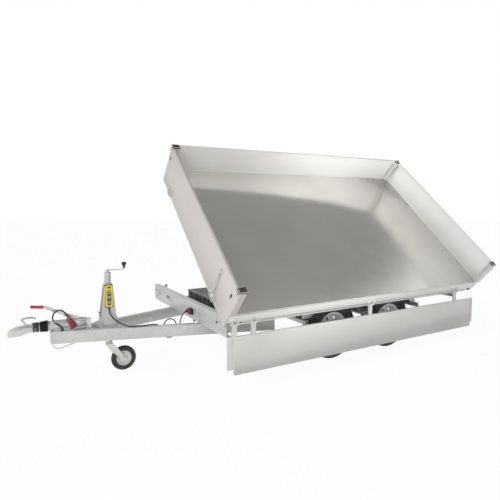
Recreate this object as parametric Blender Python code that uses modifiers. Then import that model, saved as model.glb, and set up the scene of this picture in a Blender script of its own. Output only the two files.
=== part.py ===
# Three-way dump trailer, tipped to its left, on its jockey wheel.
# Metres, +X towards the coupling, +Y to the trailer's left, +Z up, ground at z = 0.
# Pieces are placed in trailer coordinates, whose x = 0 is mid bed and y = 0 the centreline.
# The bed's pieces are given as if it lay flat, and its empty then tips them.
import math

import bmesh
import bpy
from mathutils import Matrix, Vector

# Driving dimensions: bed
BED_LENGTH = 3.526
BED_WIDTH = 2.100
FLOOR_TOP = 0.793
FLOOR_SHEET = 0.004
SILL_DEPTH = 0.060
SILL_WIDTH = 0.050
SILL_WALL = 0.005
SILL_SKIRT = 0.035
BOARD_HEIGHT = 0.325
BOARD_THICK = 0.025
HEADBOARD_THICK = 0.022
HEADBOARD_SKIRT = 0.150
POST_SIDE = 0.050
CAP_SIDE = 0.060
CAP_HEIGHT = 0.018
TIP_ANGLE = math.radians(41.92)
TIP_AXIS_INSET = 0.0825
TIP_AXIS_Z = 0.6574

# Driving dimensions: side and tail boards and their hinges
HINGE_DROP = 0.1097
HINGE_OUT = 0.0175
HINGE_PIN = 0.006
LEFT_BOARD_HEIGHT = 0.352
BOARD_LIP = 0.004
ARM_WIDTH = 0.050
LUG_THICK = 0.008
LUG_GAP = 0.003

# Driving dimensions: chassis
BEAM_FRONT_X = 1.756
BEAM_DEPTH = 0.055
BEAM_TOP = 0.677
BEAM_WALL = 0.006
FRONT_BEAM_HALF = 1.026
REAR_BEAM_X = -1.700
REAR_BEAM_HALF = 0.850
RAIL_WIDTH = 0.060
RAIL_HEIGHT = 0.110
RAIL_Y = 0.430
RAIL_WALL = 0.005
DRAWBAR_BOTTOM = 0.378
DRAWBAR_HEIGHT = 0.112
DRAWBAR_WIDTH = 0.060
DRAWBAR_FRONT_X = 3.105
DRAWBAR_REAR_X = 1.016
DRAWBAR_FRONT_Y = 0.032
DRAWBAR_SLOPE = 0.3115
BAR_SIDE = 0.040

# Driving dimensions: wheels
TYRE_RADIUS = 0.325
TYRE_WIDTH = 0.185
TYRE_BEAD_RADIUS = 0.178
TRACK_OUTER = 0.850
WHEEL_X = (0.349, -0.5025)
ARM_REACH = 0.170
AXLE_RISE = 0.080
AXLE_SIDE = 0.084
GUARD_GAP = 0.028
GUARD_WALL = 0.004
GUARD_WIDTH = 0.225

# Driving dimensions: coupling
COUPLING_TIP_X = 3.463
COUPLING_Z = 0.550

# Driving dimensions: jockey wheel
JOCKEY_X = 2.566
JOCKEY_TUBE_RADIUS = 0.033
JOCKEY_TUBE_TOP = 1.020
JOCKEY_TUBE_BOTTOM = 0.330
JOCKEY_WHEEL_RADIUS = 0.125
JOCKEY_WHEEL_WIDTH = 0.055
JOCKEY_TRAIL = 0.142
TOWER_TOP = 0.900

# Driving dimensions: tipping ram
RAM_X = 0.100
RAM_PIVOT_Z = 0.550
RAM_EYE_Z = 0.680
RAM_RADII = (0.064, 0.052, 0.041, 0.030)
RAM_STAGES = 3
RAM_BELOW = 0.270
RAM_ABOVE = 0.062
RAM_STEP = 0.008

# Small clearances
SEAT = 0.0003
RUN = 0.005

# Derived sizes
HALF_LENGTH = BED_LENGTH / 2
HALF_WIDTH = BED_WIDTH / 2
TIP_AXIS_Y = HALF_WIDTH - TIP_AXIS_INSET
SILL_BOTTOM = FLOOR_TOP - FLOOR_SHEET - SILL_DEPTH
HINGE_Y = HALF_WIDTH + HINGE_OUT
HINGE_Z = FLOOR_TOP - HINGE_DROP
TAIL_HINGE_X = -HALF_LENGTH - HINGE_OUT
DRAWBAR_TOP = DRAWBAR_BOTTOM + DRAWBAR_HEIGHT
RAIL_BOTTOM = DRAWBAR_TOP + SEAT
WHEEL_Y = TRACK_OUTER - TYRE_WIDTH / 2
CAP_OVER = (CAP_SIDE - POST_SIDE) / 2

# The model's origin: under the middle of the object's box, on the ground
TIPPED_EDGE_Y = (
    TIP_AXIS_Y
    + (HALF_WIDTH + CAP_OVER / 2 - TIP_AXIS_Y) * math.cos(TIP_ANGLE)
    + (FLOOR_TOP + BOARD_HEIGHT + CAP_HEIGHT - TIP_AXIS_Z) * math.sin(TIP_ANGLE)
)
ORIGIN_X = (COUPLING_TIP_X + TAIL_HINGE_X - BOARD_THICK / 2) / 2
ORIGIN_Y = (TIPPED_EDGE_Y - FRONT_BEAM_HALF) / 2

# Colours, roughness and metallic value of each material
MATERIALS = {
    "galvanised": ((0.56, 0.57, 0.58, 1), 0.45, 0.8),
    "aluminium": ((0.78, 0.77, 0.76, 1), 0.38, 0.7),
    "floor_sheet": ((0.42, 0.42, 0.40, 1), 0.35, 0.8),
    "zinc": ((0.66, 0.66, 0.64, 1), 0.30, 0.9),
    "rubber": ((0.025, 0.025, 0.027, 1), 0.8, 0.0),
    "plastic_black": ((0.03, 0.03, 0.032, 1), 0.5, 0.0),
    "plastic_grey": ((0.22, 0.23, 0.24, 1), 0.5, 0.0),
    "plastic_red": ((0.55, 0.02, 0.04, 1), 0.4, 0.0),
    "plastic_yellow": ((0.85, 0.72, 0.05, 1), 0.4, 0.0),
    "lamp_red": ((0.5, 0.02, 0.02, 1), 0.2, 0.0),
    "chrome": ((0.75, 0.75, 0.76, 1), 0.15, 1.0),
}

for old in list(bpy.data.objects):
    bpy.data.objects.remove(old)

trailer_pieces = bpy.data.collections.new("dump_trailer")
helpers = bpy.data.collections.new("cutters")
bpy.context.scene.collection.children.link(trailer_pieces)
bpy.context.scene.collection.children.link(helpers)
homes = {}
material_of = {}


def material(name):
    """The named material, made on first use."""
    if name not in material_of:
        colour, roughness, metallic = MATERIALS[name]
        made = bpy.data.materials.new(name)
        made.use_nodes = True
        shader = made.node_tree.nodes["Principled BSDF"]
        shader.inputs["Base Color"].default_value = colour
        shader.inputs["Roughness"].default_value = roughness
        shader.inputs["Metallic"].default_value = metallic
        material_of[name] = made
    return material_of[name]


def empty(name, at, parent=None, rotation=(0, 0, 0)):
    """An empty at a place in trailer coordinates, as if nothing were tipped."""
    made = bpy.data.objects.new(name, None)
    homes[made.name] = Vector(at)
    trailer_pieces.objects.link(made)
    made.parent = parent
    made.location = Vector(at) - (homes[parent.name] if parent else Vector())
    made.rotation_euler = rotation
    return made


def add(obj, parent, finish=None):
    """Links a piece, whose location is in trailer coordinates, under its empty."""
    trailer_pieces.objects.link(obj)
    obj.parent = parent
    obj.location = obj.location - homes[parent.name]
    if finish:
        obj.data.materials.append(material(finish))
    return obj


def smooth(obj):
    """Shades the round faces of a mesh smooth."""
    obj.data.shade_smooth()
    obj.data.set_sharp_from_angle(angle=math.radians(35))
    return obj


def box(name, x, y, z, bevel=0.0):
    """A box between two values on each axis, its origin at its middle."""
    low = Vector((min(x), min(y), min(z)))
    high = Vector((max(x), max(y), max(z)))
    mesh = bpy.data.meshes.new(name)
    shape = bmesh.new()
    bmesh.ops.create_cube(shape, size=1, matrix=Matrix.Diagonal((*(high - low), 1)))
    shape.to_mesh(mesh)
    shape.free()
    obj = bpy.data.objects.new(name, mesh)
    obj.location = (low + high) / 2
    if bevel:
        edge = obj.modifiers.new("edges", "BEVEL")
        edge.width = bevel
        edge.segments = 2
    return obj


def cylinder(name, start, end, radius, sides=20, end_radius=None):
    """A cylinder, or a cone, from one point to another."""
    start, end = Vector(start), Vector(end)
    mesh = bpy.data.meshes.new(name)
    shape = bmesh.new()
    bmesh.ops.create_cone(
        shape, cap_ends=True, segments=sides, radius1=radius,
        radius2=radius if end_radius is None else end_radius, depth=(end - start).length,
    )
    shape.to_mesh(mesh)
    shape.free()
    obj = bpy.data.objects.new(name, mesh)
    obj.location = (start + end) / 2
    obj.rotation_euler = (end - start).to_track_quat("Z", "Y").to_euler()
    return smooth(obj)


def turned(name, at, profile, steps, closed=False, axis="Y"):
    """A profile of (radius, height) points, turned about an axis through a place."""
    mesh = bpy.data.meshes.new(name)
    points = [(radius, 0, height) for radius, height in profile]
    edges = [(i, i + 1) for i in range(len(points) - 1)]
    if closed:
        edges.append((len(points) - 1, 0))
    mesh.from_pydata(points, edges, [])
    obj = bpy.data.objects.new(name, mesh)
    screw = obj.modifiers.new("turn", "SCREW")
    screw.angle = math.tau
    screw.steps = steps
    screw.render_steps = steps
    screw.use_merge_vertices = True
    screw.merge_threshold = 0.00001
    screw.use_smooth_shade = True
    obj.location = at
    obj.rotation_euler = {"Z": (0, 0, 0), "Y": (-math.pi / 2, 0, 0), "X": (0, math.pi / 2, 0)}[axis]
    return obj


def turned_mesh(name, at, profile, steps, closed=False, axis="Y"):
    """A turned piece with its Screw applied, so that it can be cut."""
    return as_mesh(turned(name, at, profile, steps, closed, axis))


def outline(name, loops, thickness, at, along="Z"):
    """A flat outline of one or more loops, thickened evenly both ways along an axis.

    Loops are in (y, z) for X, in (x, z) for Y and in (x, y) for Z.
    """
    curve = bpy.data.curves.new(name, "CURVE")
    curve.dimensions = "2D"
    curve.fill_mode = "BOTH"
    curve.extrude = thickness / 2
    for loop in loops:
        spline = curve.splines.new("POLY")
        spline.points.add(len(loop) - 1)
        for point, (a, b) in zip(spline.points, loop):
            point.co = (a, b, 0, 1)
        spline.use_cyclic_u = True
    obj = bpy.data.objects.new(name, curve)
    turns = {
        "Z": Matrix(),
        "Y": Matrix(((1, 0, 0), (0, 0, -1), (0, 1, 0))).to_4x4(),
        "X": Matrix(((0, 0, 1), (1, 0, 0), (0, 1, 0))).to_4x4(),
    }
    obj.matrix_basis = Matrix.Translation(at) @ turns[along]
    return obj


def as_mesh(obj):
    """The object as a plain closed mesh, its caps welded and its modifiers applied."""
    helpers.objects.link(obj)
    bpy.context.view_layer.update()
    graph = bpy.context.evaluated_depsgraph_get()
    mesh = bpy.data.meshes.new_from_object(obj.evaluated_get(graph))
    shape = bmesh.new()
    shape.from_mesh(mesh)
    bmesh.ops.remove_doubles(shape, verts=shape.verts, dist=0.000005)
    bmesh.ops.recalc_face_normals(shape, faces=shape.faces)
    shape.to_mesh(mesh)
    shape.free()
    mesh.name = obj.name
    made = bpy.data.objects.new(obj.name, mesh)
    made.matrix_basis = obj.matrix_basis.copy()
    name = obj.name
    bpy.data.objects.remove(obj)
    made.name = name
    return made


def combined(base, others, operation="UNION"):
    """Joins other meshes to a mesh, or cuts them from it, and returns one plain mesh."""
    for i, other in enumerate(others):
        helpers.objects.link(other)
        other.hide_render = True
        other.display_type = "WIRE"
        change = base.modifiers.new(f"{operation.lower()}_{i}", "BOOLEAN")
        change.operation = operation
        change.object = other
        change.solver = "EXACT"
    made = as_mesh(base)
    for other in others:
        bpy.data.objects.remove(other)
    return made


def rod(name, points, radius, resolution=2, smooth_curve=False):
    """A round bar or cable through points in trailer coordinates."""
    curve = bpy.data.curves.new(name, "CURVE")
    curve.dimensions = "3D"
    curve.bevel_depth = radius
    curve.bevel_resolution = resolution
    curve.use_fill_caps = True
    spline = curve.splines.new("POLY")
    spline.points.add(len(points) - 1)
    for point, place in zip(spline.points, points):
        point.co = (*place, 1)
    spline.use_smooth = smooth_curve
    return bpy.data.objects.new(name, curve)


def rect(x0, x1, y0, y1):
    """The corners of a rectangle, in order."""
    return [(x0, y0), (x1, y0), (x1, y1), (x0, y1)]


def arc(cx, cy, radius, start, end, steps):
    """Points on an arc, its angles in degrees."""
    angles = [math.radians(start + (end - start) * i / steps) for i in range(steps + 1)]
    return [(cx + radius * math.cos(a), cy + radius * math.sin(a)) for a in angles]


def channel(depth, height, wall, opening):
    """A C section with its web at 0 and its flanges reaching to depth, on the given side."""
    s = opening
    return [
        (0, 0), (s * depth, 0), (s * depth, wall), (s * wall, wall), (s * wall, height - wall),
        (s * depth, height - wall), (s * depth, height), (0, height),
    ]


def catmull(route, per_span):
    """A smooth curve through the route's points."""
    points = [Vector(p) for p in route]
    ends = [2 * points[0] - points[1]] + points + [2 * points[-1] - points[-2]]
    made = []
    for i in range(1, len(ends) - 2):
        a, b, c, d = ends[i - 1 : i + 3]
        for k in range(per_span):
            t = k / per_span
            square = 2 * a - 5 * b + 4 * c - d
            cube = 3 * b - a - 3 * c + d
            made.append(0.5 * (2 * b + (c - a) * t + square * t**2 + cube * t**3))
    return made + [points[-1]]


def beam_y(x):
    """The outer line of the left drawbar beam at a place along the trailer."""
    return DRAWBAR_FRONT_Y + DRAWBAR_SLOPE * (DRAWBAR_FRONT_X - x)


trailer = empty("trailer", (0, 0, 0))
trailer.location = (-ORIGIN_X, -ORIGIN_Y, 0)

# Chassis: front and rear beams, C sections open to the inside, with the tipping balls
BALL_RADIUS = 0.020
BALL_GAP = 0.0014
BALL_INSET = 0.075
BALL_POST = 0.010


def ball_pin(x, side, base_z):
    """A ball on a post, at one end of a tipping axis."""
    y = side * TIP_AXIS_Y
    post = cylinder("post", (x, y, base_z), (x, y, TIP_AXIS_Z), BALL_POST, 12)
    ball = bpy.data.objects.new("ball", bpy.data.meshes.new("ball"))
    shape = bmesh.new()
    bmesh.ops.create_uvsphere(shape, u_segments=12, v_segments=8, radius=BALL_RADIUS)
    shape.to_mesh(ball.data)
    shape.free()
    ball.location = (x, y, TIP_AXIS_Z)
    return [post, ball]


BEAM_HEIGHT = BEAM_TOP - RAIL_BOTTOM
BRACKET_TOP = 0.620
BRACKET_THICK = 0.030
BRACKET_HALF = 0.030
BRACKET_OVERLAP = 0.120


def cross_beam(name, face_x, half, inward):
    """A cross beam whose web is at face_x, with a bracket and a tipping ball at each end."""
    section = [(a + face_x, b) for a, b in channel(BEAM_DEPTH, BEAM_HEIGHT, BEAM_WALL, inward)]
    beam = as_mesh(outline(name, [section], 2 * half, (0, 0, RAIL_BOTTOM), "Y"))
    ball_x = face_x + inward * (BEAM_DEPTH + BALL_INSET)
    pieces = []
    for side in (1, -1):
        root = min(half - BRACKET_OVERLAP, TIP_AXIS_Y - BRACKET_HALF)
        pieces.append(
            box("bracket", (face_x + inward * BEAM_WALL / 2, ball_x + inward * BRACKET_HALF),
                (side * root, side * (TIP_AXIS_Y + BRACKET_HALF)), (BRACKET_TOP - BRACKET_THICK, BRACKET_TOP))
        )
        pieces += ball_pin(ball_x, side, BRACKET_TOP - BRACKET_THICK / 3)
    return combined(beam, pieces)


add(cross_beam("front_beam", BEAM_FRONT_X, FRONT_BEAM_HALF, -1), trailer, "galvanised")
add(cross_beam("rear_beam", REAR_BEAM_X, REAR_BEAM_HALF, 1), trailer, "galvanised")

# Chassis: two long rails between the beams, and three cross bars under them
for side, word in ((1, "left"), (-1, "right")):
    half, height = RAIL_WIDTH / 2, RAIL_HEIGHT
    ring = [
        rect(-half, half, 0, height),
        rect(-half + RAIL_WALL, half - RAIL_WALL, RAIL_WALL, height - RAIL_WALL),
    ]
    front = BEAM_FRONT_X - BEAM_DEPTH - SEAT
    rear = REAR_BEAM_X + BEAM_DEPTH + SEAT
    rail = outline(
        f"frame_rail_{word}", ring, front - rear, ((front + rear) / 2, side * RAIL_Y, RAIL_BOTTOM), "X"
    )
    add(rail, trailer, "galvanised")

BAR_HALF = 0.900
BAR_WALL = 0.003
BAR_FROM_WHEEL = 0.415
BAR_X = (WHEEL_X[0] + BAR_FROM_WHEEL, sum(WHEEL_X) / 2, WHEEL_X[1] - BAR_FROM_WHEEL)
for x, word in zip(BAR_X, ("front", "middle", "rear")):
    half = BAR_SIDE / 2
    ring = [
        rect(-half, half, -BAR_SIDE, 0),
        rect(-half + BAR_WALL, half - BAR_WALL, -BAR_SIDE + BAR_WALL, -BAR_WALL),
    ]
    bar = outline(f"cross_bar_{word}", ring, 2 * BAR_HALF, (x, 0, RAIL_BOTTOM - SEAT), "Y")
    add(bar, trailer, "galvanised")

# Drawbar: two beams that meet at the coupling, hollow, with ends cut square to the trailer
DRAWBAR_WALL = 0.004
for side, word in ((1, "left"), (-1, "right")):
    across = DRAWBAR_WIDTH * math.hypot(1, DRAWBAR_SLOPE)

    def plan(outer, inner, x0, x1):
        return [(x0, side * (beam_y(x0) - outer)), (x1, side * (beam_y(x1) - outer)),
                (x1, side * (beam_y(x1) - inner)), (x0, side * (beam_y(x0) - inner))]

    beam = as_mesh(
        outline(
            f"drawbar_beam_{word}", [plan(0, across, DRAWBAR_REAR_X, DRAWBAR_FRONT_X)],
            DRAWBAR_HEIGHT, (0, 0, DRAWBAR_BOTTOM + DRAWBAR_HEIGHT / 2),
        )
    )
    core_plan = plan(
        DRAWBAR_WALL, across - DRAWBAR_WALL, DRAWBAR_REAR_X - DRAWBAR_WIDTH, DRAWBAR_FRONT_X - DRAWBAR_WALL
    )
    core_at = (0, 0, DRAWBAR_BOTTOM + DRAWBAR_HEIGHT / 2)
    core = as_mesh(outline("core", [core_plan], DRAWBAR_HEIGHT - 2 * DRAWBAR_WALL, core_at))
    centre_cut = box(
        "centre_cut", (DRAWBAR_REAR_X, DRAWBAR_FRONT_X + DRAWBAR_WIDTH),
        (side * SEAT / 2, -side * DRAWBAR_WIDTH * 4),
        (DRAWBAR_BOTTOM - DRAWBAR_WIDTH, DRAWBAR_TOP + DRAWBAR_WIDTH),
    )
    beam = combined(beam, [core, centre_cut], "DIFFERENCE")
    add(beam, trailer, "galvanised")

# Axles: a square tube with trailing arms, hub drums and spindles, hung from the rails
HUB_RADIUS = 0.060
SPINDLE_RADIUS = 0.018
DISC_BACK = 0.010
DISC_THICK = 0.006
ARM_PLATE = 0.032
ARM_GAP = 0.070
ARM_BOSS = 0.052
ARM_NOSE = 0.034
for wheel_x, word in zip(WHEEL_X, ("front", "rear")):
    tube_x = wheel_x + ARM_REACH
    tube_z = TYRE_RADIUS + AXLE_RISE
    half = AXLE_SIDE / 2
    arm_in = RAIL_Y + RAIL_WIDTH / 2 + ARM_GAP
    arm_out = arm_in + ARM_PLATE
    base = box(f"axle_{word}", (tube_x - half, tube_x + half), (-arm_in - 0.004, arm_in + 0.004),
               (tube_z - half, tube_z + half))
    pieces = []
    for side in (1, -1):
        arm_profile = (
            arc(tube_x, tube_z, ARM_BOSS, 120, -60, 8) + arc(wheel_x, TYRE_RADIUS, ARM_NOSE, -60, -240, 8)
        )
        pieces.append(
            as_mesh(outline("arm", [arm_profile], ARM_PLATE, (0, side * (arm_in + arm_out) / 2, 0), "Y"))
        )
        drum = (side * (arm_out - 0.006), side * (WHEEL_Y + DISC_BACK - RUN))
        spindle = (side * (arm_out - 0.003), side * (WHEEL_Y + DISC_BACK + DISC_THICK + 0.020))
        for radius, sides, (start, end) in ((HUB_RADIUS, 20, drum), (SPINDLE_RADIUS, 12, spindle)):
            pieces.append(
                cylinder("hub", (wheel_x, start, TYRE_RADIUS), (wheel_x, end, TYRE_RADIUS), radius, sides)
            )
        pieces.append(
            box("hanger", (tube_x - 0.055, tube_x + 0.055),
                (side * (RAIL_Y - RAIL_WIDTH / 2), side * (RAIL_Y + RAIL_WIDTH / 2)),
                (tube_z + half - 0.010, RAIL_BOTTOM - SEAT))
        )
    add(smooth(combined(base, pieces)), trailer, "galvanised")

# Mudguards: one sheet a side, over both wheels and along the cross bars
GUARD_IN = TRACK_OUTER - TYRE_WIDTH - 0.010
guard_inner = TYRE_RADIUS + GUARD_GAP
for side, word in ((1, "left"), (-1, "right")):
    loop = []
    for radius, level, order in (
        (guard_inner + GUARD_WALL, RAIL_BOTTOM + GUARD_WALL, 1), (guard_inner, RAIL_BOTTOM, -1),
    ):
        start = math.degrees(math.asin((level - TYRE_RADIUS) / radius))
        run = [(BAR_X[0] + BAR_SIDE / 2, level)]
        for wheel_x in WHEEL_X:
            run += arc(wheel_x, TYRE_RADIUS, radius, start, 180 - start, 12)
        run.append((BAR_X[2] - BAR_SIDE / 2, level))
        loop += run[::order]
    guard = outline(
        f"mudguard_{word}", [loop], GUARD_WIDTH, (0, side * (GUARD_IN + GUARD_WIDTH / 2), 0), "Y"
    )
    add(guard, trailer, "plastic_black")

# Road wheels: a tyre and a steel disc wheel each, on an empty at the wheel's centre
BEAD_HALF = 0.066
FLANGE = 0.005
FLANGE_RADIUS = 0.195
RIM_WALL = 0.012
VENT_COUNT = 8
WHEEL_STEPS = 24
VENT_CIRCLE = 0.127
VENT_RADIUS = 0.012
half = TYRE_WIDTH / 2
tyre_half_profile = [
    (TYRE_RADIUS, half * 0.66), (TYRE_RADIUS - 0.018, half * 0.90), (TYRE_RADIUS - 0.068, half),
    (0.216, half * 0.93), (FLANGE_RADIUS + 0.003, BEAD_HALF), (TYRE_BEAD_RADIUS, BEAD_HALF),
]
tyre_profile = [(r, h) for r, h in tyre_half_profile[::-1]] + [(r, -h) for r, h in tyre_half_profile]
bead = TYRE_BEAD_RADIUS - SEAT * 2
lip = BEAD_HALF + SEAT
bore = SPINDLE_RADIUS + 2 * SEAT
disc_top = DISC_BACK + DISC_THICK
rim_profile = [
    (bead - RIM_WALL, lip + FLANGE), (FLANGE_RADIUS, lip + FLANGE), (FLANGE_RADIUS, lip), (bead, lip),
    (bead, -lip), (FLANGE_RADIUS, -lip), (FLANGE_RADIUS, -lip - FLANGE), (bead - RIM_WALL, -lip - FLANGE),
    (bead - RIM_WALL, DISC_BACK), (0.105, DISC_BACK + 0.014), (0.066, DISC_BACK), (bore, DISC_BACK),
    (bore, disc_top), (0.062, disc_top), (0.105, disc_top + 0.014), (bead - RIM_WALL, disc_top),
]
for side, side_word in ((1, "left"), (-1, "right")):
    for wheel_x, end_word in zip(WHEEL_X, ("front", "rear")):
        at = (wheel_x, side * WHEEL_Y, TYRE_RADIUS)
        hub = empty(f"wheel_{end_word}_{side_word}", at, trailer)
        flip = [(r, side * h) for r, h in rim_profile][::side]
        tyre = as_mesh(turned(f"tyre_{end_word}_{side_word}", at, tyre_profile, WHEEL_STEPS, True))
        add(smooth(tyre), hub, "rubber")
        rim = as_mesh(turned(f"rim_{end_word}_{side_word}", at, flip, WHEEL_STEPS, True))
        holes = []
        for i in range(VENT_COUNT):
            turn = math.tau * (i + 0.5) / VENT_COUNT
            x = wheel_x + VENT_CIRCLE * math.cos(turn)
            z = TYRE_RADIUS + VENT_CIRCLE * math.sin(turn)
            start, end = (x, side * (WHEEL_Y - 0.02), z), (x, side * (WHEEL_Y + 0.06), z)
            holes.append(cylinder("vent", start, end, VENT_RADIUS, 6))
        add(smooth(combined(rim, holes, "DIFFERENCE")), hub, "zinc")

# Ram: a cradle between the rails holds the barrel's trunnions, and three stages slide in the barrel
TRUNNION_RADIUS = 0.018
TRUNNION_REACH = 0.092
CRADLE_PLATE = 0.012
CRADLE_X = 0.085
CRADLE_HEIGHT = 0.100
CRADLE_SIDE_Y = 0.150
cradle_y = RAIL_Y - RAIL_WIDTH / 2 - SEAT
cradle_z = (RAM_PIVOT_Z - CRADLE_HEIGHT / 2, RAM_PIVOT_Z + CRADLE_HEIGHT / 2)
cradle, rear_plate = [
    box("ram_cradle", (RAM_X + end * CRADLE_X - CRADLE_PLATE / 2, RAM_X + end * CRADLE_X + CRADLE_PLATE / 2),
        (-cradle_y, cradle_y), cradle_z)
    for end in (1, -1)
]
others = [rear_plate]
for side in (1, -1):
    others.append(
        box("tie", (RAM_X - CRADLE_X, RAM_X + CRADLE_X),
            (side * CRADLE_SIDE_Y, side * (CRADLE_SIDE_Y + CRADLE_PLATE)),
            (cradle_z[0] + CRADLE_PLATE, cradle_z[1] - CRADLE_PLATE))
    )
cradle = combined(cradle, others)
pin_hole = cylinder(
    "pin_hole", (RAM_X - 2 * CRADLE_X, 0, RAM_PIVOT_Z), (RAM_X + 2 * CRADLE_X, 0, RAM_PIVOT_Z),
    TRUNNION_RADIUS + 2 * SEAT, 16,
)
add(combined(cradle, [pin_hole], "DIFFERENCE"), trailer, "galvanised")

eye_flat = Vector((-TIP_AXIS_Y, RAM_EYE_Z - TIP_AXIS_Z))
eye_y = TIP_AXIS_Y + eye_flat.x * math.cos(TIP_ANGLE) + eye_flat.y * math.sin(TIP_ANGLE)
eye_z = TIP_AXIS_Z - eye_flat.x * math.sin(TIP_ANGLE) + eye_flat.y * math.cos(TIP_ANGLE)
RAM_LEAN = math.atan2(eye_y, eye_z - RAM_PIVOT_Z)
RAM_CLOSED = RAM_EYE_Z - RAM_PIVOT_Z
RAM_STROKE = math.hypot(eye_y, eye_z - RAM_PIVOT_Z) - RAM_CLOSED
STAGE_STROKE = RAM_STROKE / RAM_STAGES
BORE_GAP = 0.0006
EYE_RADIUS = 0.024
EYE_THICK = 0.030
NECK_HALF = 0.016

ram_pivot = empty("ram_pivot", (RAM_X, 0, RAM_PIVOT_Z), trailer, (-RAM_LEAN, 0, 0))
stage_home = ram_pivot
for i, radius in enumerate(RAM_RADII):
    top = RAM_PIVOT_Z + RAM_ABOVE + i * RAM_STEP
    bottom = RAM_PIVOT_Z - RAM_BELOW + (i + (i > 0)) * RAM_STEP
    name = "ram_barrel" if i == 0 else f"ram_stage_{i}"
    if i:
        stage_home = empty(f"ram_slide_{i}", (RAM_X, 0, RAM_PIVOT_Z), stage_home)
        stage_home.location.z += STAGE_STROKE
    tube = cylinder(name, (RAM_X, 0, bottom), (RAM_X, 0, top), radius, 24)
    if i == 0:
        pins = cylinder("trunnion", (RAM_X - TRUNNION_REACH, 0, RAM_PIVOT_Z),
                        (RAM_X + TRUNNION_REACH, 0, RAM_PIVOT_Z), TRUNNION_RADIUS, 16)
        tube = combined(tube, [pins])
    if i < RAM_STAGES:
        inner = RAM_RADII[i + 1] + BORE_GAP
        well = cylinder("well", (RAM_X, 0, bottom + RAM_STEP), (RAM_X, 0, top + 0.05), inner, 24)
        tube = combined(tube, [well], "DIFFERENCE")
    else:
        eye_x = (RAM_X - EYE_THICK / 2, RAM_X + EYE_THICK / 2)
        eye = cylinder("eye", (eye_x[0], 0, RAM_EYE_Z), (eye_x[1], 0, RAM_EYE_Z), EYE_RADIUS, 16)
        neck = box("neck", eye_x, (-NECK_HALF, NECK_HALF), (top - 0.005, RAM_EYE_Z))
        tube = combined(tube, [neck, eye])
    add(smooth(tube), stage_home, "chrome" if i else "plastic_black")

# Bed: the tipping axis carries everything from here to the boards
bed = empty("bed_pivot", (0, TIP_AXIS_Y, TIP_AXIS_Z), trailer, (-TIP_ANGLE, 0, 0))

CROSS_X = (-1.48, -0.90, -0.30, 0.30, 0.90, 1.48)
CROSS_WIDTH = 0.040
CROSS_DEPTH = 0.050
CLEVIS_IN = EYE_THICK / 2 + 0.004
CLEVIS_PLATE = 0.010
CLEVIS_HALF = 0.035
sheet_bottom = FLOOR_TOP - FLOOR_SHEET
between_sills = HALF_WIDTH - SILL_WIDTH - SEAT
floor = box("bed_floor", (-HALF_LENGTH, HALF_LENGTH), (-HALF_WIDTH, HALF_WIDTH), (sheet_bottom, FLOOR_TOP))
ribs = [
    box("rib", (x - CROSS_WIDTH / 2, x + CROSS_WIDTH / 2), (-between_sills, between_sills),
        (sheet_bottom - CROSS_DEPTH, sheet_bottom + 0.001))
    for x in CROSS_X
]
ribs.append(
    box("ram_beam", (CROSS_X[2] + CROSS_WIDTH / 4, CROSS_X[3] - CROSS_WIDTH / 4), (-CLEVIS_HALF, CLEVIS_HALF),
        (sheet_bottom - CROSS_DEPTH + 0.005, sheet_bottom + 0.0015))
)
for side in (1, -1):
    ribs.append(
        box("clevis", (RAM_X + side * CLEVIS_IN, RAM_X + side * (CLEVIS_IN + CLEVIS_PLATE)),
            (-CLEVIS_HALF + 0.005, CLEVIS_HALF - 0.005),
            (RAM_EYE_Z - EYE_RADIUS, sheet_bottom - CROSS_DEPTH + 0.010))
    )
add(combined(floor, ribs), bed, "floor_sheet")

# Bed sills, with the ball cups and the hinge lugs
CUP_SIDE = 0.056
PLATE_THICK = 0.008
LEFT_ARM_X = (1.690, 1.490, 0.027, -1.402)
RIGHT_ARM_X = (1.490, 0.027, -1.402)
TAIL_ARM_Y = (-0.750, 0.0, 0.750)
LUG_RADIUS = 0.012
PIN_GAP = 0.0008
lug_shift = ARM_WIDTH / 2 + LUG_GAP + LUG_THICK / 2
sill_top = sheet_bottom - SEAT


def lug_loop(face, outward, centre):
    """A hinge lug seen along the hinge: it reaches from a sill's face, out and down to the hinge pin."""
    root = face - outward * 0.002
    start = 30 if outward > 0 else 150
    end = start - outward * 210
    reach = arc(centre[0], centre[1], LUG_RADIUS, start, end, 6)
    return [(root, sill_top - 0.010)] + reach + [(root, SILL_BOTTOM + 0.003)]


def ball_cup(x, side):
    """The cup over a tipping ball: a block under the sill, hollow where the ball sits."""
    y = side * TIP_AXIS_Y
    block = box("cup", (x - CUP_SIDE / 2, x + CUP_SIDE / 2), (y - CUP_SIDE / 2, y + CUP_SIDE / 2),
                (TIP_AXIS_Z + 0.001, SILL_BOTTOM + PLATE_THICK / 2))
    ball = bpy.data.objects.new("ball", bpy.data.meshes.new("ball"))
    shape = bmesh.new()
    bmesh.ops.create_uvsphere(shape, u_segments=12, v_segments=8, radius=BALL_RADIUS + BALL_GAP)
    shape.to_mesh(ball.data)
    shape.free()
    ball.location = (x, y, TIP_AXIS_Z)
    return combined(block, [ball], "DIFFERENCE")


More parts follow.
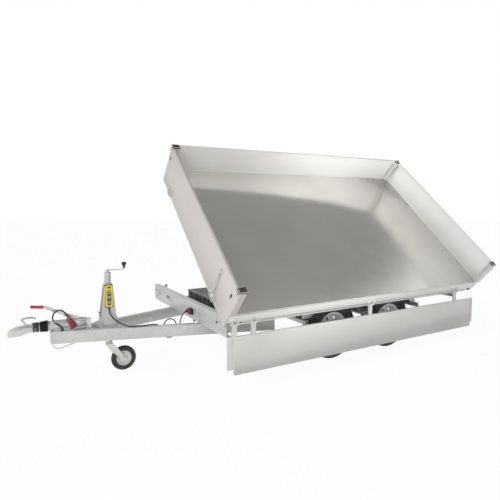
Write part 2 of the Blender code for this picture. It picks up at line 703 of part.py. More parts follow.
front_ball_x = BEAM_FRONT_X - BEAM_DEPTH - BALL_INSET
rear_ball_x = REAR_BEAM_X + BEAM_DEPTH + BALL_INSET
for side, word, arms in ((1, "left", LEFT_ARM_X), (-1, "right", RIGHT_ARM_X)):
    sill_loop = [
        (HALF_WIDTH * side + a, b) for a, b in channel(SILL_WIDTH, SILL_DEPTH - SEAT, SILL_WALL, -side)
    ]
    skirt = box("skirt", (-HALF_LENGTH, HALF_LENGTH), (side * (HALF_WIDTH - SILL_WALL), side * HALF_WIDTH),
                (SILL_BOTTOM - SILL_SKIRT, SILL_BOTTOM + SILL_WALL / 2))
    sill = as_mesh(
        outline(f"bed_side_{word}", [sill_loop], BED_LENGTH, (0, 0, SILL_BOTTOM), "X")
    )
    extras = [skirt]
    for ball_x, end in ((front_ball_x, 1), (rear_ball_x, -1)):
        extras.append(
            box("corner_plate", (ball_x - end * CUP_SIDE, end * (HALF_LENGTH - SILL_WIDTH - SEAT)),
                (side * (TIP_AXIS_Y - CUP_SIDE / 2), side * (HALF_WIDTH - SILL_WALL / 2)),
                (SILL_BOTTOM, SILL_BOTTOM + PLATE_THICK))
        )
        extras.append(ball_cup(ball_x, side))
    loop = lug_loop(side * HALF_WIDTH, side, (side * HINGE_Y, HINGE_Z))
    for arm_x in arms:
        for shift in (-lug_shift, lug_shift):
            extras.append(as_mesh(outline("lug", [loop], LUG_THICK, (arm_x + shift, 0, 0), "X")))
    pin_ends = (min(arms) - lug_shift - 0.012, max(arms) + lug_shift + 0.012)
    if side < 0:
        extras.append(
            cylinder("pin", (pin_ends[0], -HINGE_Y, HINGE_Z), (pin_ends[1], -HINGE_Y, HINGE_Z), HINGE_PIN, 8)
        )
    sill = combined(sill, extras)
    if side > 0:
        hole = cylinder(
            "hole", (pin_ends[0] - 0.1, HINGE_Y, HINGE_Z), (pin_ends[1] + 0.1, HINGE_Y, HINGE_Z),
            HINGE_PIN + PIN_GAP, 8,
        )
        sill = combined(sill, [hole], "DIFFERENCE")
    add(sill, bed, "aluminium")

# Bed ends: the front and rear profiles between the sills, the rear one with hinge lugs
for end, word in ((1, "front"), (-1, "rear")):
    profile = [
        (end * HALF_LENGTH + a, b) for a, b in channel(SILL_WIDTH, SILL_DEPTH - SEAT, SILL_WALL, -end)
    ]
    end_piece = as_mesh(outline(f"bed_{word}", [profile], 2 * between_sills, (0, 0, SILL_BOTTOM), "Y"))
    if end < 0:
        loop = lug_loop(-HALF_LENGTH, -1, (TAIL_HINGE_X, HINGE_Z))
        extras = [
            as_mesh(outline("lug", [loop], LUG_THICK, (0, arm_y + shift, 0), "Y"))
            for arm_y in TAIL_ARM_Y for shift in (-lug_shift, lug_shift)
        ]
        reach = TAIL_ARM_Y[2] + lug_shift + 0.012
        extras.append(
            cylinder("pin", (TAIL_HINGE_X, -reach, HINGE_Z), (TAIL_HINGE_X, reach, HINGE_Z), HINGE_PIN, 8)
        )
        end_piece = combined(end_piece, extras)
    add(end_piece, bed, "aluminium")

# Headboard with the front posts, and the two rear posts, all with caps
board_top = FLOOR_TOP + BOARD_HEIGHT
head_back = HALF_LENGTH + SEAT


def post(name, end, side):
    """A corner post: a square tube on the bed's corner, closed by a cap."""
    outer_x, outer_y = end * HALF_LENGTH, side * HALF_WIDTH
    shaft = box(name, (outer_x - end * POST_SIDE, outer_x), (outer_y - side * POST_SIDE, outer_y),
                (FLOOR_TOP + SEAT, board_top + 0.002))
    cap_front = outer_x + end * (CAP_OVER if end < 0 else HEADBOARD_THICK + CAP_OVER)
    cap = box("cap", (outer_x - end * (POST_SIDE + CAP_OVER), cap_front),
              (outer_y - side * (POST_SIDE + CAP_OVER), outer_y + side * CAP_OVER / 2),
              (board_top, board_top + CAP_HEIGHT))
    return shaft, cap


head = box("headboard", (head_back, head_back + HEADBOARD_THICK), (-HALF_WIDTH, HALF_WIDTH),
           (FLOOR_TOP - HEADBOARD_SKIRT, board_top))
front_posts = []
for side in (1, -1):
    shaft, cap = post("front_post", 1, side)
    joint = box("weld", (HALF_LENGTH - POST_SIDE / 2, head_back + HEADBOARD_THICK / 2),
                (side * (HALF_WIDTH - POST_SIDE + 0.002), side * (HALF_WIDTH - 0.002)),
                (FLOOR_TOP + 0.010, board_top - 0.010))
    front_posts += [shaft, joint, cap]
add(combined(head, front_posts), bed, "aluminium")
for side, word in ((1, "left"), (-1, "right")):
    shaft, cap = post(f"rear_post_{word}", -1, side)
    add(combined(shaft, [cap]), bed, "aluminium")

# Boards: an extruded section, flat inside and with two grooves outside, thin lips over the posts
GROOVE = 0.004
BOARD_END_GAP = 0.013
LIP_NOTCH = 0.045


def board_section(height, outward):
    """The board seen along its length, standing on z = 0, its outer face on the outward side."""
    half = BOARD_THICK / 2
    outer = outward * half
    low, high = height * 0.30, height * 0.66
    return [
        (-outer, 0), (outer, 0), (outer, low), (outer - outward * GROOVE, low + GROOVE),
        (outer - outward * GROOVE, low + 3 * GROOVE), (outer, low + 4 * GROOVE), (outer, high),
        (outer - outward * GROOVE, high + GROOVE), (outer - outward * GROOVE, high + 3 * GROOVE),
        (outer, high + 4 * GROOVE), (outer, height), (-outer, height),
    ]


def board(name, along, half_span, full_half, base, height, outward, hinge, arm_places):
    """A side or tail board with its lips and hinge arms.

    along is the axis that the board runs along. base is its lower edge and hinge its pin, as (across, up).
    """
    section = [(base[0] + a, base[1] + b) for a, b in board_section(height, outward)]
    body = as_mesh(outline(name, [section], 2 * half_span, (0, 0, 0), along))
    extras = []
    outer = base[0] + outward * BOARD_THICK / 2
    lip_x = (outer - outward * 0.001, outer - outward * (0.001 + BOARD_LIP))
    for end in (1, -1):
        span = (end * (half_span - 0.002), end * full_half)
        spans = (lip_x, span) if along == "Y" else (span, lip_x)
        extras.append(box("lip", *spans, (base[1], base[1] + height - LIP_NOTCH)))
    arm_top = base[1] + 0.020
    across = (base[0] - outward * 0.0045, outer - outward * 0.0025)
    for place in arm_places:
        span = (place - ARM_WIDTH / 2, place + ARM_WIDTH / 2)
        spans = (across, span) if along == "Y" else (span, across)
        extras.append(box("arm", *spans, (hinge[1], arm_top)))
        start = (span[0], hinge[0]) if along == "X" else (hinge[0], span[0])
        end = (span[1], hinge[0]) if along == "X" else (hinge[0], span[1])
        extras.append(cylinder("eye", (*start, hinge[1]), (*end, hinge[1]), LUG_RADIUS, 10))
    body = combined(body, extras)
    far = full_half + 0.1
    ends = ((-far, hinge[0]), (far, hinge[0])) if along == "X" else ((hinge[0], -far), (hinge[0], far))
    hole = cylinder("hole", (*ends[0], hinge[1]), (*ends[1], hinge[1]), HINGE_PIN + PIN_GAP, 8)
    return combined(body, [hole], "DIFFERENCE")


clear_of_posts = POST_SIDE + BOARD_END_GAP
right_pivot = empty("dropside_right_pivot", (0, -HINGE_Y, HINGE_Z), bed)
add(
    board("dropside_right", "X", HALF_LENGTH - clear_of_posts, HALF_LENGTH, (-HINGE_Y, FLOOR_TOP), BOARD_HEIGHT,
          -1, (-HINGE_Y, HINGE_Z), RIGHT_ARM_X),
    right_pivot, "aluminium",
)
tail_pivot = empty("tailboard_pivot", (TAIL_HINGE_X, 0, HINGE_Z), bed)
add(
    board("tailboard", "Y", HALF_WIDTH - clear_of_posts, HALF_WIDTH, (TAIL_HINGE_X, FLOOR_TOP), BOARD_HEIGHT,
          -1, (TAIL_HINGE_X, HINGE_Z), TAIL_ARM_Y),
    tail_pivot, "aluminium",
)

# Left side: the hinge rod stays level with the ground as the bed tips, so that the board hangs plumb
left_rod = empty("hinge_rod_pivot", (0, HINGE_Y, HINGE_Z), bed, (TIP_ANGLE, 0, 0))
rod_ends = (min(LEFT_ARM_X) - lug_shift - 0.012, max(LEFT_ARM_X) + lug_shift + 0.012)
add(
    cylinder("hinge_rod_left", (rod_ends[0], HINGE_Y, HINGE_Z), (rod_ends[1], HINGE_Y, HINGE_Z), HINGE_PIN, 8),
    left_rod, "zinc",
)
left_pivot = empty("dropside_left_pivot", (0, HINGE_Y, HINGE_Z), left_rod)
hanging = board(
    "dropside_left", "X", HALF_LENGTH - clear_of_posts, HALF_LENGTH, (HINGE_Y, HINGE_Z + HINGE_DROP),
    LEFT_BOARD_HEIGHT, 1, (HINGE_Y, HINGE_Z), LEFT_ARM_X,
)
add(hanging, left_pivot, "aluminium")
left_pivot.rotation_euler = (math.pi, 0, 0)

# Jockey wheel: a tower on the drawbar, its tube and crank, and a castor fork and wheel
TOWER_SHEET = 0.006
TOWER_HALF_Y = 0.045
TOWER_FOOT = (JOCKEY_X - 0.079, JOCKEY_X + 0.093)
TOWER_HEAD = (JOCKEY_X - 0.039, JOCKEY_X + 0.039)
TUBE_GAP = 0.0006
foot_x = (TOWER_FOOT[0] - 0.016, TOWER_FOOT[1] + 0.012)


def across_drawbar(x_ends):
    """A plate's outline over both drawbar beams, between two places along them."""
    rear, front = x_ends
    return [(rear, -beam_y(rear)), (front, -beam_y(front)), (front, beam_y(front)), (rear, beam_y(rear))]


tower = as_mesh(
    outline("jockey_tower", [across_drawbar(foot_x)], TOWER_SHEET, (0, 0, DRAWBAR_TOP + SEAT + TOWER_SHEET / 2))
)
plate_bottom = DRAWBAR_TOP + TOWER_SHEET / 2
plate_loop = [
    (TOWER_FOOT[0], plate_bottom), (TOWER_FOOT[1], plate_bottom), (TOWER_HEAD[1], TOWER_TOP),
    (TOWER_HEAD[0], TOWER_TOP),
]
pieces = [
    as_mesh(outline("side", [plate_loop], TOWER_SHEET, (0, side * (TOWER_HALF_Y - TOWER_SHEET / 2), 0), "Y"))
    for side in (1, -1)
]
pieces.append(
    box("top", TOWER_HEAD, (-TOWER_HALF_Y + 0.001, TOWER_HALF_Y - 0.001),
        (TOWER_TOP - TOWER_SHEET, TOWER_TOP - 0.0005))
)
rib_y = TOWER_HALF_Y + 0.050
rib_top = plate_bottom + 0.090
for x in (TOWER_FOOT[0] + 0.012, TOWER_FOOT[1] - 0.012):
    gusset = [(-rib_y, plate_bottom), (rib_y, plate_bottom), (TOWER_HALF_Y, rib_top), (-TOWER_HALF_Y, rib_top)]
    pieces.append(as_mesh(outline("gusset", [gusset], TOWER_SHEET, (x, 0, 0), "X")))
tower = combined(tower, pieces)
bore_tool = cylinder("bore", (JOCKEY_X, 0, 0.3), (JOCKEY_X, 0, 1.1), JOCKEY_TUBE_RADIUS + TUBE_GAP, 20)
add(combined(tower, [bore_tool], "DIFFERENCE"), trailer, "galvanised")
add(
    cylinder(
        "jockey_tube", (JOCKEY_X, 0, JOCKEY_TUBE_BOTTOM), (JOCKEY_X, 0, JOCKEY_TUBE_TOP), JOCKEY_TUBE_RADIUS, 20
    ),
    trailer, "zinc",
)

CRANK_REACH = 0.166
CRANK_ROD = 0.006
crank_z = JOCKEY_TUBE_TOP + 0.020
knob_x = JOCKEY_X - CRANK_REACH
crank = cylinder(
    "jockey_crank", (JOCKEY_X, 0, JOCKEY_TUBE_TOP + SEAT), (JOCKEY_X, 0, crank_z + 0.010), 0.014, 14
)
arm = as_mesh(
    rod("arm", [(JOCKEY_X, 0, crank_z), (knob_x, 0, crank_z), (knob_x, 0, crank_z + 0.020)], CRANK_ROD, 1)
)
knob_profile = [
    (0, 0.062), (0.020, 0.058), (0.023, 0.046), (0.019, 0.032), (0.011, 0.022), (0.011, 0), (0, 0),
]
knob = turned_mesh("knob", (knob_x, 0, crank_z + 0.012), knob_profile, 12, axis="Z")
add(smooth(combined(crank, [arm, knob])), trailer, "zinc")

swivel = empty("jockey_swivel", (JOCKEY_X, 0, JOCKEY_WHEEL_RADIUS), trailer)
hub_x = JOCKEY_X - JOCKEY_TRAIL
fork_y = JOCKEY_WHEEL_WIDTH / 2 + 0.010
fork_sheet = 0.005
fork_top = JOCKEY_TUBE_BOTTOM - 0.030
fork = cylinder(
    "jockey_fork", (JOCKEY_X, 0, fork_top - 0.020), (JOCKEY_X, 0, JOCKEY_TUBE_BOTTOM - SEAT), 0.030, 20
)
crown = box("crown", (JOCKEY_X - 0.034, JOCKEY_X + 0.030), (-fork_y - fork_sheet / 2, fork_y + fork_sheet / 2),
            (fork_top - 0.022, fork_top))
blade = (
    arc(hub_x, JOCKEY_WHEEL_RADIUS, 0.020, 135, 315, 8)
    + [(JOCKEY_X - 0.010, 0.222), (JOCKEY_X + 0.030, fork_top), (JOCKEY_X - 0.034, fork_top)]
)
pin_start, pin_end = [(hub_x, side * (fork_y + 0.012), JOCKEY_WHEEL_RADIUS) for side in (-1, 1)]
pieces = [crown, cylinder("pin", pin_start, pin_end, 0.009, 12)]
pieces += [as_mesh(outline("blade", [blade], fork_sheet, (0, side * fork_y, 0), "Y")) for side in (1, -1)]
add(smooth(combined(fork, pieces)), swivel, "zinc")
jockey_at = (hub_x, 0, JOCKEY_WHEEL_RADIUS)
jockey_hub = empty("jockey_wheel", jockey_at, swivel)
half = JOCKEY_WHEEL_WIDTH / 2
rim_r = 0.078
JOCKEY_STEPS = 20
small_tyre = [
    (rim_r, half - 0.010), (rim_r, -half + 0.010), (0.096, -half), (0.114, -half + 0.003),
    (JOCKEY_WHEEL_RADIUS, -half + 0.016), (JOCKEY_WHEEL_RADIUS, half - 0.016), (0.114, half - 0.003),
    (0.096, half),
]
small_rim = [
    (0.0096, half - 0.002), (0.0096, -half + 0.002), (0.024, -half + 0.002), (0.026, -0.006), (0.066, -0.012),
    (rim_r - SEAT * 2, -half + 0.006), (rim_r - SEAT * 2, half - 0.006), (0.066, 0.012), (0.026, 0.006),
    (0.024, half - 0.002),
]
for name, profile, finish in (("jockey_tyre", small_tyre, "rubber"), ("jockey_rim", small_rim, "zinc")):
    wheel_piece = turned_mesh(name, jockey_at, profile[::-1], JOCKEY_STEPS, True)
    add(smooth(wheel_piece), jockey_hub, finish)

# Overrun coupling on the front of the drawbar
HOUSING_RADIUS = 0.045
HOUSING_X = (2.780, 3.118)
PLATE_X = (2.740, 3.100)
HOUSING_PLATE = 0.008
LEVER_X = 2.854
LEVER_Z = 0.595
LEVER_PIN = 0.008
LEVER_POST_Y = 0.040
plate_z = DRAWBAR_TOP + SEAT
housing = as_mesh(
    outline("overrun_housing", [across_drawbar(PLATE_X)], HOUSING_PLATE, (0, 0, plate_z + HOUSING_PLATE / 2))
)
post_x = (LEVER_X - 0.035, LEVER_X + 0.035)
pieces = [
    cylinder("tube", (HOUSING_X[0], 0, COUPLING_Z), (HOUSING_X[1], 0, COUPLING_Z), HOUSING_RADIUS, 20),
    box("saddle", (HOUSING_X[0] + 0.020, PLATE_X[1] - 0.030), (-HOUSING_RADIUS * 2 / 3, HOUSING_RADIUS * 2 / 3),
        (plate_z + HOUSING_PLATE / 2, COUPLING_Z - 0.010)),
    box("lever_post", post_x, (LEVER_POST_Y, LEVER_POST_Y + 0.008), (COUPLING_Z - 0.020, LEVER_Z + 0.017)),
    box("lever_foot", post_x, (LEVER_POST_Y / 2, LEVER_POST_Y + 0.006),
        (COUPLING_Z - 0.020, COUPLING_Z - 0.006)),
    cylinder(
        "lever_pin", (LEVER_X, LEVER_POST_Y, LEVER_Z), (LEVER_X, LEVER_POST_Y + 0.026, LEVER_Z), LEVER_PIN, 12
    ),
]
SHAFT_RADIUS = 0.025
SHAFT_IN = 0.040
shaft_bore = cylinder(
    "shaft_bore", (HOUSING_X[1] - SHAFT_IN - 0.020, 0, COUPLING_Z), (HOUSING_X[1] + SHAFT_IN, 0, COUPLING_Z),
    SHAFT_RADIUS + 2 * SEAT, 20,
)
housing = combined(combined(housing, pieces), [shaft_bore], "DIFFERENCE")
add(smooth(housing), trailer, "galvanised")

BELLOWS_FOLDS = 4
BELLOWS_RADIUS = 0.044
BELLOWS_FLARE = 0.002
bellows_x = (HOUSING_X[1] + SEAT, 3.205)
bellows_length = bellows_x[1] - bellows_x[0]
fold = bellows_length / BELLOWS_FOLDS
profile = [(SHAFT_RADIUS + SEAT * 2, bellows_length)]
for i in range(BELLOWS_FOLDS):
    top = bellows_length - i * fold
    valley = BELLOWS_RADIUS + BELLOWS_FLARE * i
    profile += [(valley, top), (valley + 0.009, top - fold / 2)]
profile += [(0.050, 0), (SHAFT_RADIUS + SEAT * 2, 0)]
bellows = turned_mesh("coupling_bellows", (bellows_x[0], 0, COUPLING_Z), profile, 16, True, "X")
add(smooth(bellows), trailer, "rubber")

SOCKET_RADIUS = 0.026
SOCKET_X = 3.420
SOCKET_Z = 0.512
HEAD_WIDTH = 0.070
HANDLE_ROD = 0.009
head_rear = bellows_x[1] + 0.004
head_loop = [
    (head_rear, COUPLING_Z - 0.030), (3.300, COUPLING_Z - 0.036), (3.365, 0.492), (3.455, 0.492),
    (COUPLING_TIP_X, 0.505), (COUPLING_TIP_X, 0.526), (3.440, 0.552), (3.380, 0.572), (3.290, 0.584),
    (head_rear, 0.578),
]
coupling = as_mesh(outline("coupling_head", [head_loop], HEAD_WIDTH, (0, 0, 0), "Y"))
handle_route = [
    (3.305, 0, 0.572), (3.325, 0, 0.612), (3.345, 0, 0.632), (3.320, 0, 0.644), (3.270, 0, 0.647),
    (3.235, 0, 0.640), (3.228, 0, 0.625),
]
handle = as_mesh(rod("handle", catmull(handle_route, 2), HANDLE_ROD, 1))
shaft = cylinder(
    "shaft", (HOUSING_X[1] - SHAFT_IN, 0, COUPLING_Z), (head_rear + 0.050, 0, COUPLING_Z), SHAFT_RADIUS, 16
)
coupling = combined(coupling, [handle, shaft])
socket = bpy.data.objects.new("socket", bpy.data.meshes.new("socket"))
shape = bmesh.new()
bmesh.ops.create_uvsphere(shape, u_segments=16, v_segments=10, radius=SOCKET_RADIUS)
shape.to_mesh(socket.data)
shape.free()
socket.location = (SOCKET_X, 0, SOCKET_Z)
mouth_end = (SOCKET_X, 0, SOCKET_Z - 3 * SOCKET_RADIUS)
mouth = cylinder("mouth", mouth_end, (SOCKET_X, 0, SOCKET_Z), SOCKET_RADIUS, 16)
coupling = combined(combined(coupling, [socket], "DIFFERENCE"), [mouth], "DIFFERENCE")
add(smooth(coupling), trailer, "zinc")

# Handbrake lever and its grip, on the housing's post
LEVER_Y = 0.0535
LEVER_THICK = 0.010
lever_loop = (
    arc(LEVER_X, LEVER_Z, 0.020, 110, 290, 6)
    + [(3.150, 0.7265), (3.1612, 0.7350), (3.1592, 0.7529), (3.144, 0.756)]
)
lever = as_mesh(outline("handbrake_lever", [lever_loop], LEVER_THICK, (0, LEVER_Y, 0), "Y"))
pin_bore = cylinder(
    "pin_bore", (LEVER_X, 0, LEVER_Z), (LEVER_X, 2 * LEVER_Y, LEVER_Z), LEVER_PIN + 2 * SEAT, 12
)
add(combined(lever, [pin_bore], "DIFFERENCE"), trailer, "zinc")
GRIP_START = (3.1605, LEVER_Y, 0.744)
GRIP_END = (3.272, LEVER_Y, 0.757)
add(cylinder("handbrake_grip", GRIP_START, GRIP_END, 0.015, 12), trailer, "plastic_red")

# Power unit and battery box, on a tray between the rails
TRAY_X = (1.240, 1.580)
TRAY_SHEET = 0.008
BOX_INSET = 0.020
BOX_TOP = 0.690
BOX_Y = (0.012, 0.370)
tray_y = RAIL_Y - RAIL_WIDTH / 2 - SEAT
tray_top = RAIL_BOTTOM + TRAY_SHEET
box_x = (TRAY_X[0] + BOX_INSET, TRAY_X[1] - BOX_INSET)
add(box("box_tray", TRAY_X, (-tray_y, tray_y), (RAIL_BOTTOM, tray_top)), trailer, "galvanised")
for name, side, finish in (("power_unit", -1, "plastic_grey"), ("battery_box", 1, "plastic_black")):
    unit = box(name, box_x, (side * BOX_Y[0], side * BOX_Y[1]), (tray_top + SEAT, BOX_TOP), 0.008)
    add(unit, trailer, finish)

# Rear lamps on the rear beam
LAMP_Y = (0.600, 0.820)
LAMP_Z = (0.530, 0.630)
LAMP_DEEP = 0.045
for side, word in ((1, "left"), (-1, "right")):
    lamp = box(f"rear_lamp_{word}", (REAR_BEAM_X - LAMP_DEEP, REAR_BEAM_X - SEAT),
               (side * LAMP_Y[0], side * LAMP_Y[1]), LAMP_Z, 0.006)
    add(lamp, trailer, "lamp_red")

# Pendant control on the tower, and its cable to the front beam
PENDANT_X = (2.533, 2.609)
PENDANT_Z = (0.680, 0.904)
PENDANT_DEEP = 0.036
pendant_y = TOWER_HALF_Y + SEAT
pendant = box("pendant_control", PENDANT_X, (pendant_y, pendant_y + PENDANT_DEEP), PENDANT_Z, 0.006)
add(pendant, trailer, "plastic_yellow")

CABLE_RADIUS = 0.006
CONTROL_ROUTE = [
    (2.571, 0.064, 0.6796), (2.571, 0.064, 0.671), (2.571, 0.064, 0.662), (2.570, 0.066, 0.645),
    (2.565, 0.075, 0.615), (2.545, 0.100, 0.575), (2.505, 0.140, 0.540), (2.460, 0.180, 0.512),
    (2.410, 0.212, 0.498), (2.340, 0.232, 0.4965),
    (2.260, 0.248, 0.4965), (2.190, 0.256, 0.4985), (2.130, 0.235, 0.480), (2.090, 0.205, 0.420),
    (2.060, 0.185, 0.355), (2.010, 0.178, 0.320), (1.950, 0.176, 0.325), (1.915, 0.172, 0.375),
    (1.910, 0.168, 0.440), (1.935, 0.168, 0.490), (1.980, 0.172, 0.510), (2.030, 0.172, 0.490),
    (2.050, 0.166, 0.430), (2.035, 0.160, 0.370), (1.990, 0.156, 0.335), (1.935, 0.156, 0.345),
    (1.895, 0.160, 0.395), (1.870, 0.170, 0.460), (1.858, 0.186, 0.520), (1.843, 0.202, 0.556),
    (1.822, 0.210, 0.572), (1.808, 0.210, 0.572), (1.7936, 0.210, 0.572),
]
add(rod("control_cable", CONTROL_ROUTE, CABLE_RADIUS, 2), trailer, "rubber")

# Socket block on the front beam, and the trailer's plug and lead at the coupling
BLOCK_X = (BEAM_FRONT_X + SEAT, 1.793)
BLOCK_Y = (0.165, 0.255)
BLOCK_Z = (0.545, 0.600)
add(box("control_socket", BLOCK_X, BLOCK_Y, BLOCK_Z, 0.005), trailer, "plastic_black")

LEAD_RADIUS = 0.007
LEAD_ROUTE = [
    (3.005, 0.054, 0.4987), (3.005, 0.054, 0.507), (3.005, 0.054, 0.516), (3.018, 0.060, 0.542),
    (3.060, 0.070, 0.580), (3.088, 0.076, 0.625), (3.078, 0.082, 0.678), (3.035, 0.088, 0.707),
    (3.000, 0.094, 0.697), (2.979, 0.098, 0.672), (2.9650, 0.100, 0.6461), (2.9555, 0.100, 0.6285),
]
PLUG_END = Vector((2.905, 0.100, 0.535))
PLUG_RADII = (0.022, 0.030)
add(rod("lead", catmull(LEAD_ROUTE, 2), LEAD_RADIUS, 2), trailer, "rubber")
lead_end = Vector(LEAD_ROUTE[-1])
plug_start = lead_end + (PLUG_END - lead_end).normalized() * SEAT
add(cylinder("lead_plug", plug_start, PLUG_END, PLUG_RADII[0], 14, PLUG_RADII[1]), trailer, "plastic_red")
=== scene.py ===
# Looks of the tipped dump trailer: finishes, fittings, cords, floor, light and camera round the frame.
# Metres, but the profiles of turned shapes are in millimetres. Pieces are given in trailer coordinates:
# x = 0 mid bed, y = 0 centreline, z = 0 ground. Those of the bed and its boards are given as if the bed
# lay flat with its boards closed, and PLACES then moves them.
import math

import bmesh
import bpy
from mathutils import Matrix, Vector


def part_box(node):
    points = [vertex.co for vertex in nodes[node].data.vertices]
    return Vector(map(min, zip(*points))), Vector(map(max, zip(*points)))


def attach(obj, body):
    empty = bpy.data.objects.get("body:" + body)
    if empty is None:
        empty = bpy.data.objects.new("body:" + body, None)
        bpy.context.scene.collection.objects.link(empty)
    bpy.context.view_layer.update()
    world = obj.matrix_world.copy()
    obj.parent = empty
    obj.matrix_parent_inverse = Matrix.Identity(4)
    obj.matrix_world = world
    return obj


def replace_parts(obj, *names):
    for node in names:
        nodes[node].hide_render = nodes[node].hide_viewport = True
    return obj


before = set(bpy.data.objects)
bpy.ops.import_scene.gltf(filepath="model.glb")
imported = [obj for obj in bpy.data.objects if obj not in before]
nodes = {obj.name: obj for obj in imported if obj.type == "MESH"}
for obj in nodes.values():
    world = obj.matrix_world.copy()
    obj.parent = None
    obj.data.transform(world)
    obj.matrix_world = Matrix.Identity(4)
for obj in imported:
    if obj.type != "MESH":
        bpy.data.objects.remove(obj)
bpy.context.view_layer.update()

# Trailer coordinates against the frame's
FRONT_BEAM_FACE_X = 1.756
FRONT_BEAM_HALF = 1.026
HINGE_Y = 1.0675
HINGE_Z = 0.6833
beam_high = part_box("front_beam")[1]
TO_FRAME = Vector((beam_high.x - FRONT_BEAM_FACE_X, beam_high.y - FRONT_BEAM_HALF, 0))
TIP_ANGLE = math.radians(41.92)
TIP_AXIS = Vector((0, 0.9675, 0.6574))
ON_CHASSIS = Matrix.Translation(TO_FRAME)
ON_BED = (
    ON_CHASSIS @ Matrix.Translation(TIP_AXIS) @ Matrix.Rotation(-TIP_ANGLE, 4, "X")
    @ Matrix.Translation(-TIP_AXIS)
)
hinge_tipped = ON_BED @ Vector((0, HINGE_Y, HINGE_Z))
ON_LEFT_BOARD = (
    Matrix.Translation(hinge_tipped) @ Matrix.Rotation(math.pi, 4, "X")
    @ Matrix.Translation((0, -HINGE_Y, -HINGE_Z))
)
PLACES = {"bed": ON_BED, "dropside_right": ON_BED, "tailboard": ON_BED, "dropside_left": ON_LEFT_BOARD}
SIDES = ((1, "left"), (-1, "right"))
AHEAD, LEFT, UP, DOWN = (1, 0, 0), (0, 1, 0), (0, 0, 1), (0, 0, -1)
MM = 0.001

# Camera, fitted to the photograph, whose frame is 500 by 500 pixels
PHOTO_SIZE = 500
FOCAL_PIXELS = 443.0
CENTRE_ROW = 239.99
CAMERA_AZIMUTH = 0.519
CAMERA_PITCH = 0.071
CAMERA_ROLL = -0.003
CAMERA_PLACE = Vector((3.506, 4.525, 1.651))

camera_data = bpy.data.cameras.new("camera")
camera = bpy.data.objects.new("camera", camera_data)
link = bpy.context.scene.collection.objects.link
link(camera)
bpy.context.scene.camera = camera
camera_data.sensor_width = 36.0
camera_data.lens = camera_data.sensor_width * FOCAL_PIXELS / PHOTO_SIZE
camera_data.shift_y = (CENTRE_ROW - PHOTO_SIZE / 2) / PHOTO_SIZE
camera_data.clip_end = 100
level = math.cos(CAMERA_PITCH)
forward = Vector((
    -math.sin(CAMERA_AZIMUTH) * level, -math.cos(CAMERA_AZIMUTH) * level, -math.sin(CAMERA_PITCH)
))
facing = forward.to_track_quat("-Z", "Y").to_matrix().to_4x4()
camera.matrix_world = (
    Matrix.Translation(CAMERA_PLACE + TO_FRAME) @ facing @ Matrix.Rotation(CAMERA_ROLL, 4, "Z")
)


# Materials: each is a Principled shader with its colour, roughness and bump varied by noise
def node_of(tree, kind, inputs, output=0, operation=None, data_type=None):
    """The output of a new node, whose inputs are values or other nodes' outputs, by name or number."""
    made = tree.nodes.new("ShaderNode" + kind)
    if operation:
        made.operation = operation
    if data_type:
        made.data_type = data_type
    for key, value in inputs.items():
        if isinstance(value, bpy.types.NodeSocket):
            tree.links.new(value, made.inputs[key])
        else:
            made.inputs[key].default_value = value
    return made.outputs[output]


def shader_of(name, roughness, metallic):
    """A new material with its node tree, Principled node and coordinates."""
    made = bpy.data.materials.new(name)
    made.use_nodes = True
    tree = made.node_tree
    shader = tree.nodes["Principled BSDF"]
    shader.inputs["Roughness"].default_value = roughness
    shader.inputs["Metallic"].default_value = metallic
    return made, tree, shader, node_of(tree, "TexCoord", {}, "Object")


def noise_of(tree, place, scale, detail=3.0, stretch=(1, 1, 1)):
    """Noise from 0 to 1 at a scale per metre, stretched by a factor on each axis."""
    mapped = node_of(tree, "Mapping", {"Vector": place, "Scale": [scale * s for s in stretch]})
    return node_of(tree, "TexNoise", {"Vector": mapped, "Scale": 1.0, "Detail": detail}, "Fac")


def spread(tree, value, low=0.0, high=1.0, at=(0.35, 0.65)):
    """A value mapped from a band onto a range."""
    ends = {"From Min": at[0], "From Max": at[1], "To Min": low, "To Max": high}
    return node_of(tree, "MapRange", {"Value": value, **ends}, "Result")


def two_colours(tree, value, first, second):
    """A colour between two, by a value. Each is a colour or another node's output."""
    ends = [c if isinstance(c, bpy.types.NodeSocket) else (*c, 1) for c in (first, second)]
    return node_of(tree, "Mix", {0: value, 6: ends[0], 7: ends[1]}, 2, data_type="RGBA")


def dress(tree, shader, colour, roughness, height, depth, strength):
    """Links a colour, a roughness and a bump of a real depth to a shader."""
    raised = node_of(tree, "Bump", {"Height": height, "Distance": depth, "Strength": strength}, "Normal")
    for name, value in (("Base Color", colour), ("Roughness", roughness), ("Normal", raised)):
        tree.links.new(value, shader.inputs[name])


def metal(name, first, second, rough, metallic, patch, grain, stretch=(1, 1, 1), depth=0.0003):
    """A metal whose colour drifts in patches and whose fine grain may run one way."""
    made, tree, shader, place = shader_of(name, rough[0], metallic)
    patches = noise_of(tree, place, patch, 4.0)
    fine = noise_of(tree, place, grain, 2.0, stretch)
    both = node_of(tree, "Math", {0: fine, 1: 0.35, 2: patches}, operation="MULTIPLY_ADD")
    colour = two_colours(tree, spread(tree, both, at=(0.5, 0.85)), first, second)
    dress(tree, shader, colour, spread(tree, fine, *rough), fine, depth, 0.35)
    return made


def moulded(name, colour, rough, grain=900.0, depth=0.0002, worn=0.06):
    """Plastic, rubber or paint: slight patches of wear over a fine moulded grain."""
    made, tree, shader, place = shader_of(name, rough, 0.0)
    patches = noise_of(tree, place, 14.0, 5.0)
    lighter = [c + worn * (1 - c) * 0.5 for c in colour]
    mixed = two_colours(tree, spread(tree, patches), colour, lighter)
    roughness = spread(tree, patches, rough - 0.06, rough + 0.08)
    dress(tree, shader, mixed, roughness, noise_of(tree, place, grain, 1.0), depth, 0.4)
    return made


